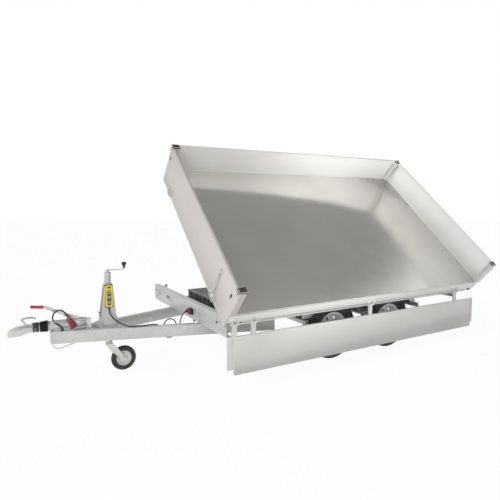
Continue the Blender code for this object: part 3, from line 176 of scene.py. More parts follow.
def galvanised():
    """Hot-dip zinc: crystal cells of slightly different greys, with a soft sheen."""
    made, tree, shader, place = shader_of("galvanised", 0.42, 0.45)
    cells = node_of(tree, "TexVoronoi", {"Vector": place, "Scale": 90.0}, "Color")
    grey = node_of(tree, "RGBToBW", {"Color": cells})
    cloud = noise_of(tree, place, 4.0, 5.0)
    total = node_of(tree, "Math", {0: grey, 1: 0.45, 2: cloud}, operation="MULTIPLY_ADD")
    colour = two_colours(tree, spread(tree, total, at=(0.4, 1.05)), (0.52, 0.52, 0.51), (0.66, 0.66, 0.64))
    dress(tree, shader, colour, spread(tree, grey, 0.38, 0.48), noise_of(tree, place, 160.0), 0.0002, 0.3)
    return made


# The floor sheet's upward direction as it stands, and the height of its top along that
FLOOR_UP = (0.0, 0.66809, 0.74408)
FLOOR_LEVEL = 1.1627


def floor_sheet():
    """A bright sheet seen from above, and dull zinc on its underside and the members under it."""
    made, tree, shader, place = shader_of("floor_sheet", 0.17, 0.95)
    level = node_of(tree, "VectorMath", {0: place, 1: FLOOR_UP}, "Value", "DOT_PRODUCT")
    top = spread(tree, level, at=(FLOOR_LEVEL - 0.003, FLOOR_LEVEL - 0.001))
    patches = noise_of(tree, place, 1.1, 4.0)
    fine = noise_of(tree, place, 8.0, 2.0)
    bright = two_colours(tree, spread(tree, patches), (0.74, 0.73, 0.69), (0.82, 0.81, 0.78))
    dull = two_colours(tree, spread(tree, fine), (0.44, 0.44, 0.43), (0.56, 0.56, 0.54))
    rough = spread(tree, top, 0.5, spread(tree, fine, 0.15, 0.2), (0, 1))
    tree.links.new(spread(tree, top, 0.45, 0.95, (0, 1)), shader.inputs["Metallic"])
    height = noise_of(tree, place, 3.0, 2.0)
    dress(tree, shader, two_colours(tree, top, dull, bright), rough, height, 0.0002, 0.15)
    return made


GRAIN_X = (0.02, 1, 1)
GRAIN_Y = (1, 0.02, 1)
# Name, two colours, roughness, metallic, patches and grain a metre, the grain's stretch and depth
METALS = (
    ("aluminium", (0.76, 0.75, 0.73), (0.84, 0.83, 0.81), (0.36, 0.46), 0.35, 1.2, 240.0, GRAIN_X),
    ("headboard", (0.62, 0.585, 0.575), (0.7, 0.66, 0.64), (0.38, 0.48), 0.35, 1.2, 240.0, GRAIN_Y),
    # A brighter copy of the aluminium with painted light: its colours are raised because the right dropside
    # and tailboard get less light than the other boards
    ("aluminium_painted_brighter", (0.86, 0.85, 0.83), (0.92, 0.91, 0.89), (0.36, 0.46), 0.15, 1.2, 240.0, GRAIN_X),
    ("board_sheet", (0.62, 0.61, 0.59), (0.69, 0.68, 0.66), (0.34, 0.44), 0.3, 1.2, 240.0, GRAIN_X),
    ("aluminium_grey", (0.58, 0.58, 0.56), (0.66, 0.66, 0.64), (0.36, 0.46), 0.35, 1.2, 240.0, GRAIN_X),
    ("cast_iron", (0.1, 0.1, 0.1), (0.16, 0.155, 0.15), (0.45, 0.6), 0.7, 12.0, 160.0),
    ("dark_steel", (0.2, 0.2, 0.19), (0.3, 0.3, 0.29), (0.3, 0.42), 0.8, 9.0, 220.0),
    ("zinc", (0.58, 0.58, 0.56), (0.72, 0.72, 0.69), (0.24, 0.38), 0.8, 9.0, 220.0),
    ("wheel_silver", (0.62, 0.62, 0.62), (0.72, 0.72, 0.72), (0.3, 0.42), 0.45, 9.0, 300.0),
    ("chrome", (0.62, 0.62, 0.63), (0.78, 0.78, 0.79), (0.08, 0.16), 1.0, 6.0, 400.0, (1, 1, 1), 0.0001),
)
# Name, colour, roughness, grain a metre, its depth and wear
MOULDED = (
    ("tyre", (0.022, 0.022, 0.023), 0.72, 500.0, 0.0004, 0.08),
    ("rubber", (0.02, 0.02, 0.021), 0.62, 700.0),
    ("plastic_black", (0.028, 0.028, 0.03), 0.46),
    ("plastic_grey", (0.17, 0.17, 0.17), 0.5),
    ("plastic_red", (0.52, 0.02, 0.045), 0.36),
    ("plug_red", (0.26, 0.012, 0.02), 0.4),
    ("plastic_yellow", (0.84, 0.66, 0.03), 0.36),
    ("plastic_white", (0.8, 0.8, 0.78), 0.4),
    ("lamp_red", (0.46, 0.012, 0.015), 0.12, 300.0),
    ("lamp_amber", (0.8, 0.26, 0.02), 0.12, 300.0),
    ("ram_black", (0.03, 0.03, 0.032), 0.34),
)
MATERIALS = {"galvanised": galvanised(), "floor_sheet": floor_sheet()}
MATERIALS.update({row[0]: metal(*row) for row in METALS})
MATERIALS.update({row[0]: moulded(*row) for row in MOULDED})


def pair_of(start):
    """The names of a left and a right solid."""
    return [f"{start}_left", f"{start}_right"]


NODE_MATERIALS = {
    "galvanised": [
        "front_beam", "rear_beam", "cross_bar_front", "cross_bar_middle", "cross_bar_rear", "axle_front",
        "axle_rear", "ram_cradle", "box_tray", "overrun_housing", "jockey_tower", *pair_of("frame_rail"),
        *pair_of("drawbar_beam"),
    ],
    "aluminium": ["bed_front", "bed_rear", *pair_of("bed_side"), *pair_of("rear_post")],
    "board_sheet": ["dropside_left"],
    # The right dropside and tailboard take the brighter copy, whose raised colour is painted light
    "aluminium_painted_brighter": ["dropside_right", "tailboard"],
    "headboard": ["headboard"],
    "floor_sheet": ["bed_floor"],
    "aluminium_grey": ["hinge_rod_left"],
    "zinc": ["handbrake_lever", "jockey_tube", "jockey_crank", "jockey_fork", "coupling_head"],
    "chrome": ["ram_stage_1", "ram_stage_2", "ram_stage_3"],
    "ram_black": ["ram_barrel"],
    "plastic_black": ["battery_box", "power_unit", "control_socket", "pendant_control", *pair_of("mudguard")],
    "plastic_red": ["handbrake_grip"],
    "plug_red": ["lead_plug"],
    "lamp_red": pair_of("rear_lamp"),
    "rubber": ["coupling_bellows", "control_cable", "lead"],
    "tyre": ["jockey_tyre", *pair_of("tyre_front"), *pair_of("tyre_rear")],
    "wheel_silver": ["jockey_rim", *pair_of("rim_front"), *pair_of("rim_rear")],
}
EDGE_WIDTH = 0.0012
EDGE_ANGLE = math.radians(35)
SHARP_ANGLE = math.radians(32)


def soften(obj, width):
    """Smooth shading with narrow rounded edges."""
    weld = obj.modifiers.new("weld", "WELD")
    weld.merge_threshold = 0.00001
    edge = obj.modifiers.new("edges", "BEVEL")
    edge.width = width
    edge.segments = 2
    edge.limit_method = "ANGLE"
    edge.angle_limit = EDGE_ANGLE
    edge.harden_normals = True
    obj.data.shade_smooth()


for finish, members in NODE_MATERIALS.items():
    for member in members:
        solid = nodes[member]
        solid.data.materials.clear()
        solid.data.materials.append(MATERIALS[finish])
        soften(solid, EDGE_WIDTH)


# Building pieces: shapes are made in a bmesh, in trailer coordinates
def matter(name, shape):
    """A mesh from a bmesh, its faces turned outwards."""
    bmesh.ops.recalc_face_normals(shape, faces=shape.faces)
    mesh = bpy.data.meshes.new(name)
    shape.to_mesh(mesh)
    shape.free()
    return mesh


def piece(name, finish, shape, edge=0.0008, body="chassis", place=None):
    """Adds a piece, from a bmesh or a mesh, in a finish, riding a body and placed as that body is."""
    mesh = shape if isinstance(shape, bpy.types.Mesh) else matter(name, shape)
    if not mesh.materials:
        mesh.materials.append(MATERIALS[finish])
    obj = bpy.data.objects.new(name, mesh)
    link(obj)
    obj.matrix_world = PLACES.get(body, ON_CHASSIS) if place is None else place
    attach(obj, body)
    if edge:
        soften(obj, edge)
    else:
        mesh.shade_smooth()
        mesh.set_sharp_from_angle(angle=SHARP_ANGLE)
    return obj


def about(middle, half):
    """The two values that lie half to each side of a middle."""
    return middle - half, middle + half


def shapes(count):
    """Several empty shapes."""
    return [bmesh.new() for _ in range(count)]


def axis_at(start, toward):
    """A matrix whose Z axis runs from a point along a direction."""
    return Matrix.Translation(start) @ Vector(toward).to_track_quat("Z", "Y").to_matrix().to_4x4()


def block(shape, x, y, z):
    """A box between two values on each axis."""
    low = Vector((min(x), min(y), min(z)))
    high = Vector((max(x), max(y), max(z)))
    size = Matrix.Diagonal((*(high - low), 1))
    bmesh.ops.create_cube(shape, size=1, matrix=Matrix.Translation((low + high) / 2) @ size)


def barrel(shape, start, end, radius, sides=16, far_radius=None):
    """A round bar or cone between two points."""
    start, end = Vector(start), Vector(end)
    bmesh.ops.create_cone(
        shape, cap_ends=True, segments=sides, radius1=radius,
        radius2=radius if far_radius is None else far_radius,
        depth=(end - start).length, matrix=axis_at((start + end) / 2, end - start),
    )


def turned(shape, start, toward, profile, steps=32, unit=MM):
    """A profile of (radius, height) turned round an axis from a point along a direction."""
    place = axis_at(start, toward)
    rings = []
    for i in range(steps):
        turn = math.tau * i / steps
        rings.append([
            shape.verts.new(place @ (unit * Vector((r * math.cos(turn), r * math.sin(turn), h))))
            for r, h in profile
        ])
    count = len(profile)
    for i in range(steps):
        near, far = rings[i], rings[(i + 1) % steps]
        for j in range(count):
            k = (j + 1) % count
            shape.faces.new((near[j], far[j], far[k], near[k]))
    middle = [v for ring in rings for v, (r, h) in zip(ring, profile) if r == 0]
    bmesh.ops.remove_doubles(shape, verts=middle, dist=1e-6)


def turned_piece(name, finish, start, toward, profile, steps=32, body="chassis", place=None):
    """A piece of one turned shape, with its edges left as they are."""
    shape = bmesh.new()
    turned(shape, start, toward, profile, steps)
    return piece(name, finish, shape, 0, body, place)


def loft(shape, rings):
    """A skin over rings of points, closed at both ends."""
    made = [[shape.verts.new(p) for p in ring] for ring in rings]
    for near, far in zip(made, made[1:]):
        for j in range(len(near)):
            k = (j + 1) % len(near)
            shape.faces.new((near[j], near[k], far[k], far[j]))
    shape.faces.new(made[0][::-1])
    shape.faces.new(made[-1])


def on_axis(axis, a, b, height):
    """The point of a pair of values at a height on the X or Y axis."""
    return (height, a, b) if axis == "X" else (a, height, b)


def plate(shape, loop, axis, low, high):
    """A flat outline of pairs between two heights on an axis."""
    loft(shape, [[on_axis(axis, a, b, height) for a, b in loop] for height in (low, high)])


def tube(shape, route, radius, sides=10):
    """A round rod along a route, of one radius or of one a point."""
    points = [Vector(p) for p in route]
    radii = radius if isinstance(radius, (list, tuple)) else [radius] * len(points)
    side = (points[1] - points[0]).orthogonal().normalized()
    rings = []
    for i, point in enumerate(points):
        along = (points[min(i + 1, len(points) - 1)] - points[max(i - 1, 0)]).normalized()
        side = (side - along * side.dot(along)).normalized()
        other = along.cross(side)
        turns = [math.tau * j / sides for j in range(sides)]
        rings.append([point + radii[i] * (side * math.cos(t) + other * math.sin(t)) for t in turns])
    loft(shape, rings)


def catmull(route, per_span):
    """A smooth curve through the route's points."""
    points = [Vector(p) for p in route]
    ends = [2 * points[0] - points[1]] + points + [2 * points[-1] - points[-2]]
    made = []
    for i in range(1, len(ends) - 2):
        a, b, c, d = ends[i - 1:i + 3]
        for j in range(per_span):
            t = j / per_span
            made.append(
                0.5 * (2 * b + (c - a) * t + (2 * a - 5 * b + 4 * c - d) * t * t
                       + (3 * b - a - 3 * c + d) * t * t * t)
            )
    return made + [points[-1]]


def oval(centre, half, steps=24, power=2.0):
    """A closed loop of pairs: an ellipse, or squarer with a higher power."""
    made = []
    for i in range(steps):
        turn = math.tau * i / steps
        c, s = math.cos(turn), math.sin(turn)
        made.append((
            centre[0] + half[0] * math.copysign(abs(c) ** (2 / power), c),
            centre[1] + half[1] * math.copysign(abs(s) ** (2 / power), s),
        ))
    return made


def ring_of(count, radius, first):
    """Pairs evenly round a circle, from a first angle."""
    turns = [first + math.tau * i / count for i in range(count)]
    return [(radius * math.cos(turn), radius * math.sin(turn)) for turn in turns]


def bolts(shape, places, toward, radius):
    """Hexagon heads on washers, each standing on a face that looks along a direction."""
    up = Vector(toward).normalized()
    for place in places:
        foot = Vector(place) - up * 0.0005
        barrel(shape, foot, foot + up * radius * 0.3, radius * 1.5, 20)
        barrel(shape, foot + up * radius * 0.25, foot + up * radius, radius * 1.08, 6)


def rivets(shape, places, toward, radius):
    """Domed heads, each standing on a face that looks along a direction."""
    under = -0.0004 / radius
    dome = [(0, 0.5), (0.5, 0.44), (0.85, 0.22), (1, under), (0, under)]
    for place in places:
        turned(shape, place, toward, dome, 14, radius)


def carved(shape, holes):
    """A mesh of a shape with others cut out of it."""
    pair = []
    for name, part in (("carved", shape), ("holes", holes)):
        obj = bpy.data.objects.new(name, matter(name, part))
        link(obj)
        pair.append(obj)
    cut = pair[0].modifiers.new("cut", "BOOLEAN")
    cut.object = pair[1]
    cut.solver = "EXACT"
    result = bpy.data.meshes.new_from_object(pair[0].evaluated_get(bpy.context.evaluated_depsgraph_get()))
    for obj in pair:
        bpy.data.objects.remove(obj)
    return result


# Road wheels: a treaded tyre and a pressed steel wheel, shared by the four places
WHEEL_X = {"front": 0.349, "rear": -0.5025}
WHEEL_Y = 0.7575
WHEEL_Z = 0.325
TREAD_BLOCKS = 40
SIPE_AT = (0.0, 0.02, 0.14, 0.16, 0.5, 0.52, 0.64, 0.66)
# In millimetres
TREAD_RADIUS = 324.5
SIPE_DEPTH = 4.5
GROOVE_DEPTH = 7
CROWN = 0.0009


def tyre_mesh():
    """A tyre round the Y axis at the origin: four grooves, and sipes across its ribs."""
    wall = [
        (178, 65), (196.5, 66.8), (200, 73), (206, 79), (216, 85.5), (228, 89),
        (230, 88.2), (240, 90), (242, 91.4), (257, 92.2), (272, 91.5), (286, 89),
        (288.5, 87), (298, 83.5), (307, 77.8), (314, 71.5), (319, 66.5),
    ]
    ribs = [
        (64, 0, "shoulder"), (47, 0, "shoulder"), (46, 1, ""), (42, 1, ""), (41, 0, "middle"),
        (20, 0, "middle"), (19, 1, ""), (15, 1, ""), (14, 0, ""),
    ]
    profile = [(r, -y, "") for r, y in wall]
    profile += [(TREAD_RADIUS - CROWN * y * y - GROOVE_DEPTH * deep, -y, kind) for y, deep, kind in ribs]
    profile += [(r, -y, kind) for r, y, kind in profile[::-1]]
    shape = bmesh.new()
    rings = []
    for i in range(TREAD_BLOCKS):
        for j, part in enumerate(SIPE_AT):
            turn = math.tau * (i + part) / TREAD_BLOCKS
            low = {"shoulder": j in (1, 2), "middle": j in (5, 6)}
            ring = []
            for r, y, kind in profile:
                r = MM * (r - (SIPE_DEPTH if low.get(kind) else 0))
                ring.append(shape.verts.new((r * math.cos(turn), MM * y, r * math.sin(turn))))
            rings.append(ring)
    for near, far in zip(rings, rings[1:] + rings[:1]):
        for j in range(len(profile)):
            k = (j + 1) % len(profile)
            shape.faces.new((near[j], far[j], far[k], near[k]))
    return matter("tyre", shape)


def wheel_mesh():
    """A wheel round the Y axis at the origin, its outer face towards +Y, with round holes in its disc."""
    profile = [
        (19.5, 16), (62, 16), (70, 16.4), (76, 18.5), (83, 23.5), (91, 28),
        (101, 30.5), (112, 30.5), (122, 28.5), (135, 23.5), (148, 17.5), (156, 16),
        (161, 19), (164.5, 30), (166.5, 46), (169, 58), (174.5, 64), (183, 67.2),
        (189, 71), (192.5, 71.3), (195, 69.5), (195, 66.8), (190, 66.2), (178.5, 65.5),
        (178.5, -65.5), (195, -66.5), (195, -70), (189, -71), (174.5, -64),
        (169, -58), (166, -10), (162, 6), (156, 10), (148, 11.5),
        (135, 17.5), (122, 22.5), (112, 24.5), (101, 24.5), (91, 22), (83, 17.5),
        (76, 12.5), (70, 10.4), (62, 10), (19.5, 10),
    ]
    shape, holes = shapes(2)
    turned(shape, (0, 0, 0), LEFT, profile, 72)
    for x, z in ring_of(8, 0.127, math.tau / 16):
        barrel(holes, (x, -0.01, z), (x, 0.06, z), 0.0145, 24)
    return carved(shape, holes)


def nuts_shape():
    """Five wheel bolts and the hub's cap, round the Y axis."""
    shape = bmesh.new()
    for x, z in ring_of(5, 0.05, 0.3):
        barrel(shape, (x, 0.0155, z), (x, 0.0195, z), 0.0125, 20, 0.0105)
        barrel(shape, (x, 0.019, z), (x, 0.0305, z), 0.0095, 6)
        barrel(shape, (x, 0.03, z), (x, 0.0335, z), 0.0075, 16, 0.0045)
    cap = [(0, 55.5), (18, 54.5), (26.5, 51), (29.5, 45), (30, 23), (32.5, 22),
           (32.5, 15.8), (0, 15.8)]
    turned(shape, (0, 0, 0), LEFT, cap, 40)
    return shape


def wheel_place(end, side):
    """Where a road wheel stands, with its outer face outwards."""
    place = ON_CHASSIS @ Matrix.Translation((WHEEL_X[end], side * WHEEL_Y, WHEEL_Z))
    return place @ Matrix.Rotation(0 if side > 0 else math.pi, 4, "Z")


tyre_shared = tyre_mesh()
wheel_shared = wheel_mesh()
nuts_shared = matter("wheel_nuts", nuts_shape())
valve = bmesh.new()
valve_route = [(0.15, 0.016, 0), (0.152, 0.026, 0), (0.156, 0.034, 0), (0.158, 0.044, 0)]
tube(valve, valve_route, [0.0055, 0.0045, 0.004, 0.004])
valve_shared = matter("valve", valve)
for end in WHEEL_X:
    for side, word in SIDES:
        place = wheel_place(end, side) @ Matrix.Rotation(0 if end == "front" else math.pi / 2, 4, "Y")
        name, body = f"{end}_{word}", f"wheel_{end}_{word}"
        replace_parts(piece(f"tyre_{name}_treaded", "tyre", tyre_shared, 0, body, place), f"tyre_{name}")
        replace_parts(piece(f"wheel_{name}_disc", "wheel_silver", wheel_shared, 0, body, place), f"rim_{name}")
        piece(f"wheel_{name}_nuts", "zinc", nuts_shared, 0.0006, body, place)
        piece(f"wheel_{name}_valve", "rubber", valve_shared, 0, body, place)

# Bed: caps, edge strip, faces under the edge profiles, screws and hinge straps
HALF_LENGTH = 1.763
HALF_WIDTH = 1.05
FLOOR_TOP = 0.793
BOARD_TOP = 1.118
CAP_TOP = 1.136
SHELL = 0.001
BOARD_FACE_Y = HINGE_Y + 0.0125
TAIL_FACE_X = -HALF_LENGTH - 0.03
HEAD_FACE_X = 1.7853
POST = 0.055
SCREW_IN = 0.026
SCREW_RADIUS = 0.0058
RIGHT_ARM_X = (1.49, 0.027, -1.402)
LEFT_ARM_X = (1.69, 1.49, 0.027, -1.402)
TAIL_ARM_Y = (-0.75, 0.0, 0.75)

for end, end_word in ((1, "front"), (-1, "rear")):
    for side, word in SIDES:
        inner_x = end * (HALF_LENGTH - POST - SHELL)
        outer_x = end * (HALF_LENGTH + (0.027 if end > 0 else 0.005) + SHELL)
        inner_y = side * (HALF_WIDTH - POST - SHELL)
        outer_y = side * (HALF_WIDTH + 0.0025 + SHELL)
        cap = bmesh.new()
        block(cap, (inner_x, outer_x), (inner_y, outer_y), (BOARD_TOP - SHELL, CAP_TOP - 0.004))
        crown_x = (inner_x + end * 0.004, outer_x - end * 0.004)
        crown_y = (inner_y + side * 0.004, outer_y - side * 0.004)
        block(cap, crown_x, crown_y, (CAP_TOP - 0.005, CAP_TOP + SHELL))
        piece(f"post_cap_{end_word}_{word}", "plastic_black", cap, 0.0022, "bed")

strip = bmesh.new()
strip_x = about(0, HALF_LENGTH - 0.052)
block(strip, strip_x, (HALF_WIDTH - 0.019, HALF_WIDTH + 0.0004), (FLOOR_TOP - 0.001, FLOOR_TOP + 0.0022))
block(strip, strip_x, about(HALF_WIDTH, 0.0012), (FLOOR_TOP - 0.016, FLOOR_TOP + 0.0018))
piece("floor_edge_strip", "aluminium", strip, 0.0007, "bed")
for side, word in SIDES:
    sill = bmesh.new()
    block(sill, (-1.6, 1.6), (side * 1.0474, side * 1.0499), (0.668, 0.6946))
    piece(f"sill_face_{word}", "aluminium_grey", sill, body="bed")

SCREW_X = (1.495, 1.245, 0.99, 0.745, 0.485, 0.252, 0.006, -0.237, -0.494, -0.729, -0.977, -1.23, -1.48)
screws = bmesh.new()
for side in (1, -1):
    rivets(screws, [(x, side * (HALF_WIDTH - SCREW_IN), FLOOR_TOP) for x in SCREW_X], UP, SCREW_RADIUS)
for x in (HALF_LENGTH - SCREW_IN, -HALF_LENGTH + SCREW_IN):
    rivets(screws, [(x, -0.92 + 0.23 * i, FLOOR_TOP) for i in range(9)], UP, SCREW_RADIUS)
piece("floor_screws", "dark_steel", screws, 0, "bed")


def strap(shape, bolt_shape, spot, face, outward, axis):
    """A hinge strap with three bolts, up a board's outer face, which looks along an axis."""
    low, high = HINGE_Z + 0.004, FLOOR_TOP + 0.15
    loop = [(spot - 0.024, low), (spot + 0.024, low), (spot + 0.024, high - 0.05), (spot + 0.013, high),
            (spot - 0.013, high), (spot - 0.024, high - 0.05)]
    outer = face + outward * 0.0045
    plate(shape, loop, axis, face - outward * 0.0003, outer)
    heights = (FLOOR_TOP + 0.018, FLOOR_TOP + 0.062, high - 0.03)
    bolts(bolt_shape, [on_axis(axis, spot, z, outer) for z in heights], on_axis(axis, 0, 0, outward), 0.0065)


STRAP_SETS = (
    ("dropside_right", RIGHT_ARM_X, -BOARD_FACE_Y, -1, "Y"),
    ("dropside_left", LEFT_ARM_X, BOARD_FACE_Y, 1, "Y"),
    ("tailboard", TAIL_ARM_Y, TAIL_FACE_X, -1, "X"),
)
for body, spots, face, outward, axis in STRAP_SETS:
    straps, heads = shapes(2)
    for spot in spots:
        strap(straps, heads, spot, face, outward, axis)
    piece(f"{body}_hinge_straps", "zinc", straps, body=body)
    piece(f"{body}_hinge_bolts", "zinc", heads, 0.0005, body)


# Headboard: lashing hooks, locking rod with its knob, oval grommets, rivets, edges and keepers
def on_head(spots):
    """Points in front of the headboard's face, given by how far in front they are."""
    return [(HEAD_FACE_X + x, y, z) for x, y, z in spots]


HEAD_FOOT_X = (HEAD_FACE_X - 0.001, HEAD_FACE_X + 0.004)
HALF_HOOK = ((-0.004, 0.05, 0.7), (0.009, 0.05, 0.692), (0.014, 0.046, 0.664), (0.014, 0.028, 0.652))
hooks = bmesh.new()
for y in (-0.77, 0.73):
    route = [(x, y - half, z) for x, half, z in HALF_HOOK]
    route += [(x, y + half, z) for x, half, z in HALF_HOOK[::-1]]
    tube(hooks, catmull(on_head(route), 4), 0.0055, 12)
    for foot_y in about(y, 0.05):
        block(hooks, HEAD_FOOT_X, about(foot_y, 0.018), (0.688, 0.722))
piece("headboard_hooks", "zinc", hooks, 0.0006, "bed")
rod = bmesh.new()
rod_route = [(-0.003, 0.694, 1.03), (0.01, 0.696, 1.022), (0.012, 0.7, 1.0), (0.012, 0.728, 0.76),
             (0.012, 0.732, 0.716)]
tube(rod, catmull(on_head(rod_route), 3), 0.005, 12)
for z, y in ((0.96, 0.7047), (0.79, 0.7245)):
    block(rod, (HEAD_FACE_X - 0.001, HEAD_FACE_X + 0.017), about(y, 0.011), about(z, 0.006))
piece("locking_rod", "zinc", rod, 0.0006, "bed")
turned_piece(
    "locking_rod_knob", "plastic_white", (HEAD_FACE_X + 0.012, 0.7325, 0.722), (0, 0.06, -1),
    [(0, 0), (9, 0), (10, 6), (13, 16), (13, 24), (9, 31), (0, 33)], 24, "bed",
)
grommets, mouths = shapes(2)
for y in (-1.0, 0.966):
    plate(grommets, oval((y, 0.985), (0.02, 0.034)), "X", HEAD_FACE_X - 0.001, HEAD_FACE_X + 0.0022)
    plate(mouths, oval((y, 0.985), (0.013, 0.026)), "X", HEAD_FACE_X + 0.001, HEAD_FACE_X + 0.0028)
piece("headboard_grommets", "zinc", grommets, 0.0006, "bed")
piece("headboard_slots", "plastic_black", mouths, 0.0003, "bed")
head_rivets = bmesh.new()
for y in (-1.024, 1.024):
    rivets(head_rivets, [(HEAD_FACE_X, y, z) for z in (0.83, 0.91, 1.06)], AHEAD, 0.0065)
rivets(head_rivets, [(HEAD_FACE_X, -0.9 + 0.225 * i, 0.765) for i in range(9)], AHEAD, 0.006)
piece("headboard_rivets", "zinc", head_rivets, 0, "bed")
edge = bmesh.new()
edge_x = HEAD_FACE_X + 0.0012
block(edge, (1.763, edge_x), about(0, HALF_WIDTH - 0.06), (BOARD_TOP - 0.012, BOARD_TOP + 0.0018))
block(edge, (1.764, edge_x), about(0, HALF_WIDTH + 0.0005), (0.6425, 0.656))
piece("headboard_edges", "headboard", edge, 0.0016, "bed")
keepers = bmesh.new()
for y in (1.028, -1.028):
    block(keepers, HEAD_FOOT_X, about(y, 0.013), (1.074, 1.113))
    bow = ((0.003, 1.08), (0.016, 1.084), (0.021, 1.096), (0.016, 1.108), (0.003, 1.111))
    tube(keepers, catmull(on_head((x, y, z) for x, z in bow), 4), 0.0055, 12)
piece("post_keepers", "zinc", keepers, 0.0007, "bed")


# Latches that hold the boards to the posts
def latch(shape, corner, along, outward):
    """A plate with a barrel and a bent lever, on a face that looks outward."""
    def at(side, out, up):
        return Vector(corner) + side * Vector(along) + out * Vector(outward) + Vector((0, 0, up))

    block(shape, *zip(at(-0.02, 0, -0.034), at(0.02, 0.004, 0.034)))
    barrel(shape, at(-0.016, 0.01, 0.018), at(0.016, 0.01, 0.018), 0.0065)
    lever = ((0.01, 0.02), (0.017, -0.004), (0.014, -0.034), (0.02, -0.052))
    tube(shape, catmull([at(0, out, up) for out, up in lever], 4), 0.0052, 12)


LATCH_Z = 1.05
LATCH_IN = 0.085
right_latches, tail_latches, left_latches = shapes(3)
for x in (HALF_LENGTH - LATCH_IN, -HALF_LENGTH + LATCH_IN):
    latch(right_latches, (x, -BOARD_FACE_Y, LATCH_Z), AHEAD, (0, -1, 0))
    latch(left_latches, (x, BOARD_FACE_Y, LATCH_Z), AHEAD, LEFT)
for y in (HALF_WIDTH - LATCH_IN, -HALF_WIDTH + LATCH_IN):
    latch(tail_latches, (TAIL_FACE_X, y, LATCH_Z), LEFT, (-1, 0, 0))
piece("dropside_right_latches", "zinc", right_latches, 0.0007, "dropside_right")
piece("dropside_left_latches", "zinc", left_latches, 0.0007, "dropside_left")
piece("tailboard_latches", "zinc", tail_latches, 0.0007, "tailboard")

foot = bmesh.new()
for side in (1, -1):
    block(foot, (-HALF_LENGTH + 0.004, -HALF_LENGTH + 0.046), (side * 1.004, side * 1.04), (0.648, 0.73))
    turned(foot, (-HALF_LENGTH + 0.025, side * 1.022, 0.65), DOWN,
           [(0, 0), (17, 0), (20, 4), (20, 12), (14, 18), (0, 18)], 24)
piece("rear_feet", "rubber", foot, 0.0015, "bed")

# Brakes behind the wheels, seen through their holes
DRUM = [(30, -118), (100, -118), (108, -112), (110, -60), (110, -4), (106, 2),
        (64, 3.5), (30, 3.5)]
BACKPLATE = [(62, -128), (110, -128), (121, -121), (121, -116), (112, -118.5), (62, -118.5)]
drum, backplate = shapes(2)
turned(drum, (0, 0, 0), LEFT, DRUM, 48)
turned(backplate, (0, 0, 0), LEFT, BACKPLATE, 48)
drum_shared = matter("brake_drum", drum)
backplate_shared = matter("brake_backplate", backplate)
for end in WHEEL_X:
    for side, word in SIDES:
        place = wheel_place(end, side)
        piece(f"brake_drum_{end}_{word}", "cast_iron", drum_shared, 0, f"wheel_{end}_{word}", place)
        piece(f"brake_backplate_{end}_{word}", "dark_steel", backplate_shared, 0, "chassis", place)

# Mudguards: a rolled bead on each edge, end brackets and their rivets
BAR_X = (0.764, -0.0768, -0.9175)
GUARD_Y = (0.655, 0.88)
GUARD_RADIUS = 0.357
GUARD_LEVEL = 0.4943
GUARD_START = math.asin((GUARD_LEVEL - WHEEL_Z) / GUARD_RADIUS)
GUARD_RIVET_Y = (0.68, 0.77, 0.862)


def on_guard(wheel_x, turn, out=0.0):
    """The x and z of a mudguard's arch at an angle, or a little outside it."""
    radius = GUARD_RADIUS + out
    return wheel_x + radius * math.cos(turn), WHEEL_Z + radius * math.sin(turn)


for side, word in SIDES:
    beads, brackets, heads = shapes(3)
    for y in GUARD_Y:
        line = [(BAR_X[0] + 0.02, GUARD_LEVEL)]
        for wheel_x in WHEEL_X.values():
            line += [on_guard(wheel_x, GUARD_START + (math.pi - 2 * GUARD_START) * i / 24) for i in range(25)]
        line.append((BAR_X[2] - 0.02, GUARD_LEVEL))
        tube(beads, [(x, side * y, z) for x, z in line], 0.0042, 8)
    for bar_x, wheel_x, way in ((BAR_X[0], WHEEL_X["front"], -1), (BAR_X[2], WHEEL_X["rear"], 1)):
        loop = [(bar_x - way * 0.018, GUARD_LEVEL)]
        for i in range(7):
            turn = GUARD_START + math.radians(1.5 + 4 * i)
            loop.append(on_guard(wheel_x, turn if way < 0 else math.pi - turn, 0.0004))
        loop += [(bar_x + way * 0.03, GUARD_LEVEL + 0.082), (bar_x - way * 0.018, GUARD_LEVEL + 0.04)]
        plate(brackets, loop, "Y", side * 0.7, side * 0.704)
        plate(brackets, loop, "Y", side * 0.838, side * 0.842)
    for bar_x in BAR_X:
        rivets(heads, [(bar_x, side * y, GUARD_LEVEL) for y in GUARD_RIVET_Y], UP, 0.0075)
    piece(f"mudguard_{word}_beads", "plastic_black", beads, 0)
    piece(f"mudguard_{word}_brackets", "galvanised", brackets)
    piece(f"mudguard_{word}_rivets", "zinc", heads, 0)

# Tipping brackets: gussets under them, and bolts through the beams
BOLT = 0.0085
# Where each starts at its beam and ends, and its outer side
GUSSETS = ((1.7515, 1.604, 0.942), (1.7515, 1.604, 0.99), (-1.6955, -1.548, 0.78), (-1.6955, -1.548, 0.835))
gussets, beam_bolts = shapes(2)
for side in (1, -1):
    for root, tip, y in GUSSETS:
        loop = [(root, 0.592), (tip, 0.592), (tip, 0.58), (root, 0.5)]
        plate(gussets, loop, "Y", side * y, side * (y - 0.006))
    spots = [(y, z) for y in (0.905, 0.985) for z in (0.54, 0.606)] + [(0.43, 0.52), (0.43, 0.57)]
    bolts(beam_bolts, [(FRONT_BEAM_FACE_X, side * y, z) for y, z in spots], AHEAD, BOLT)
    bolts(beam_bolts, [(-1.7, side * 0.43, z) for z in (0.52, 0.57)], (-1, 0, 0), BOLT)
piece("tipping_gussets", "galvanised", gussets)
piece("beam_bolts", "zinc", beam_bolts, 0.0005)

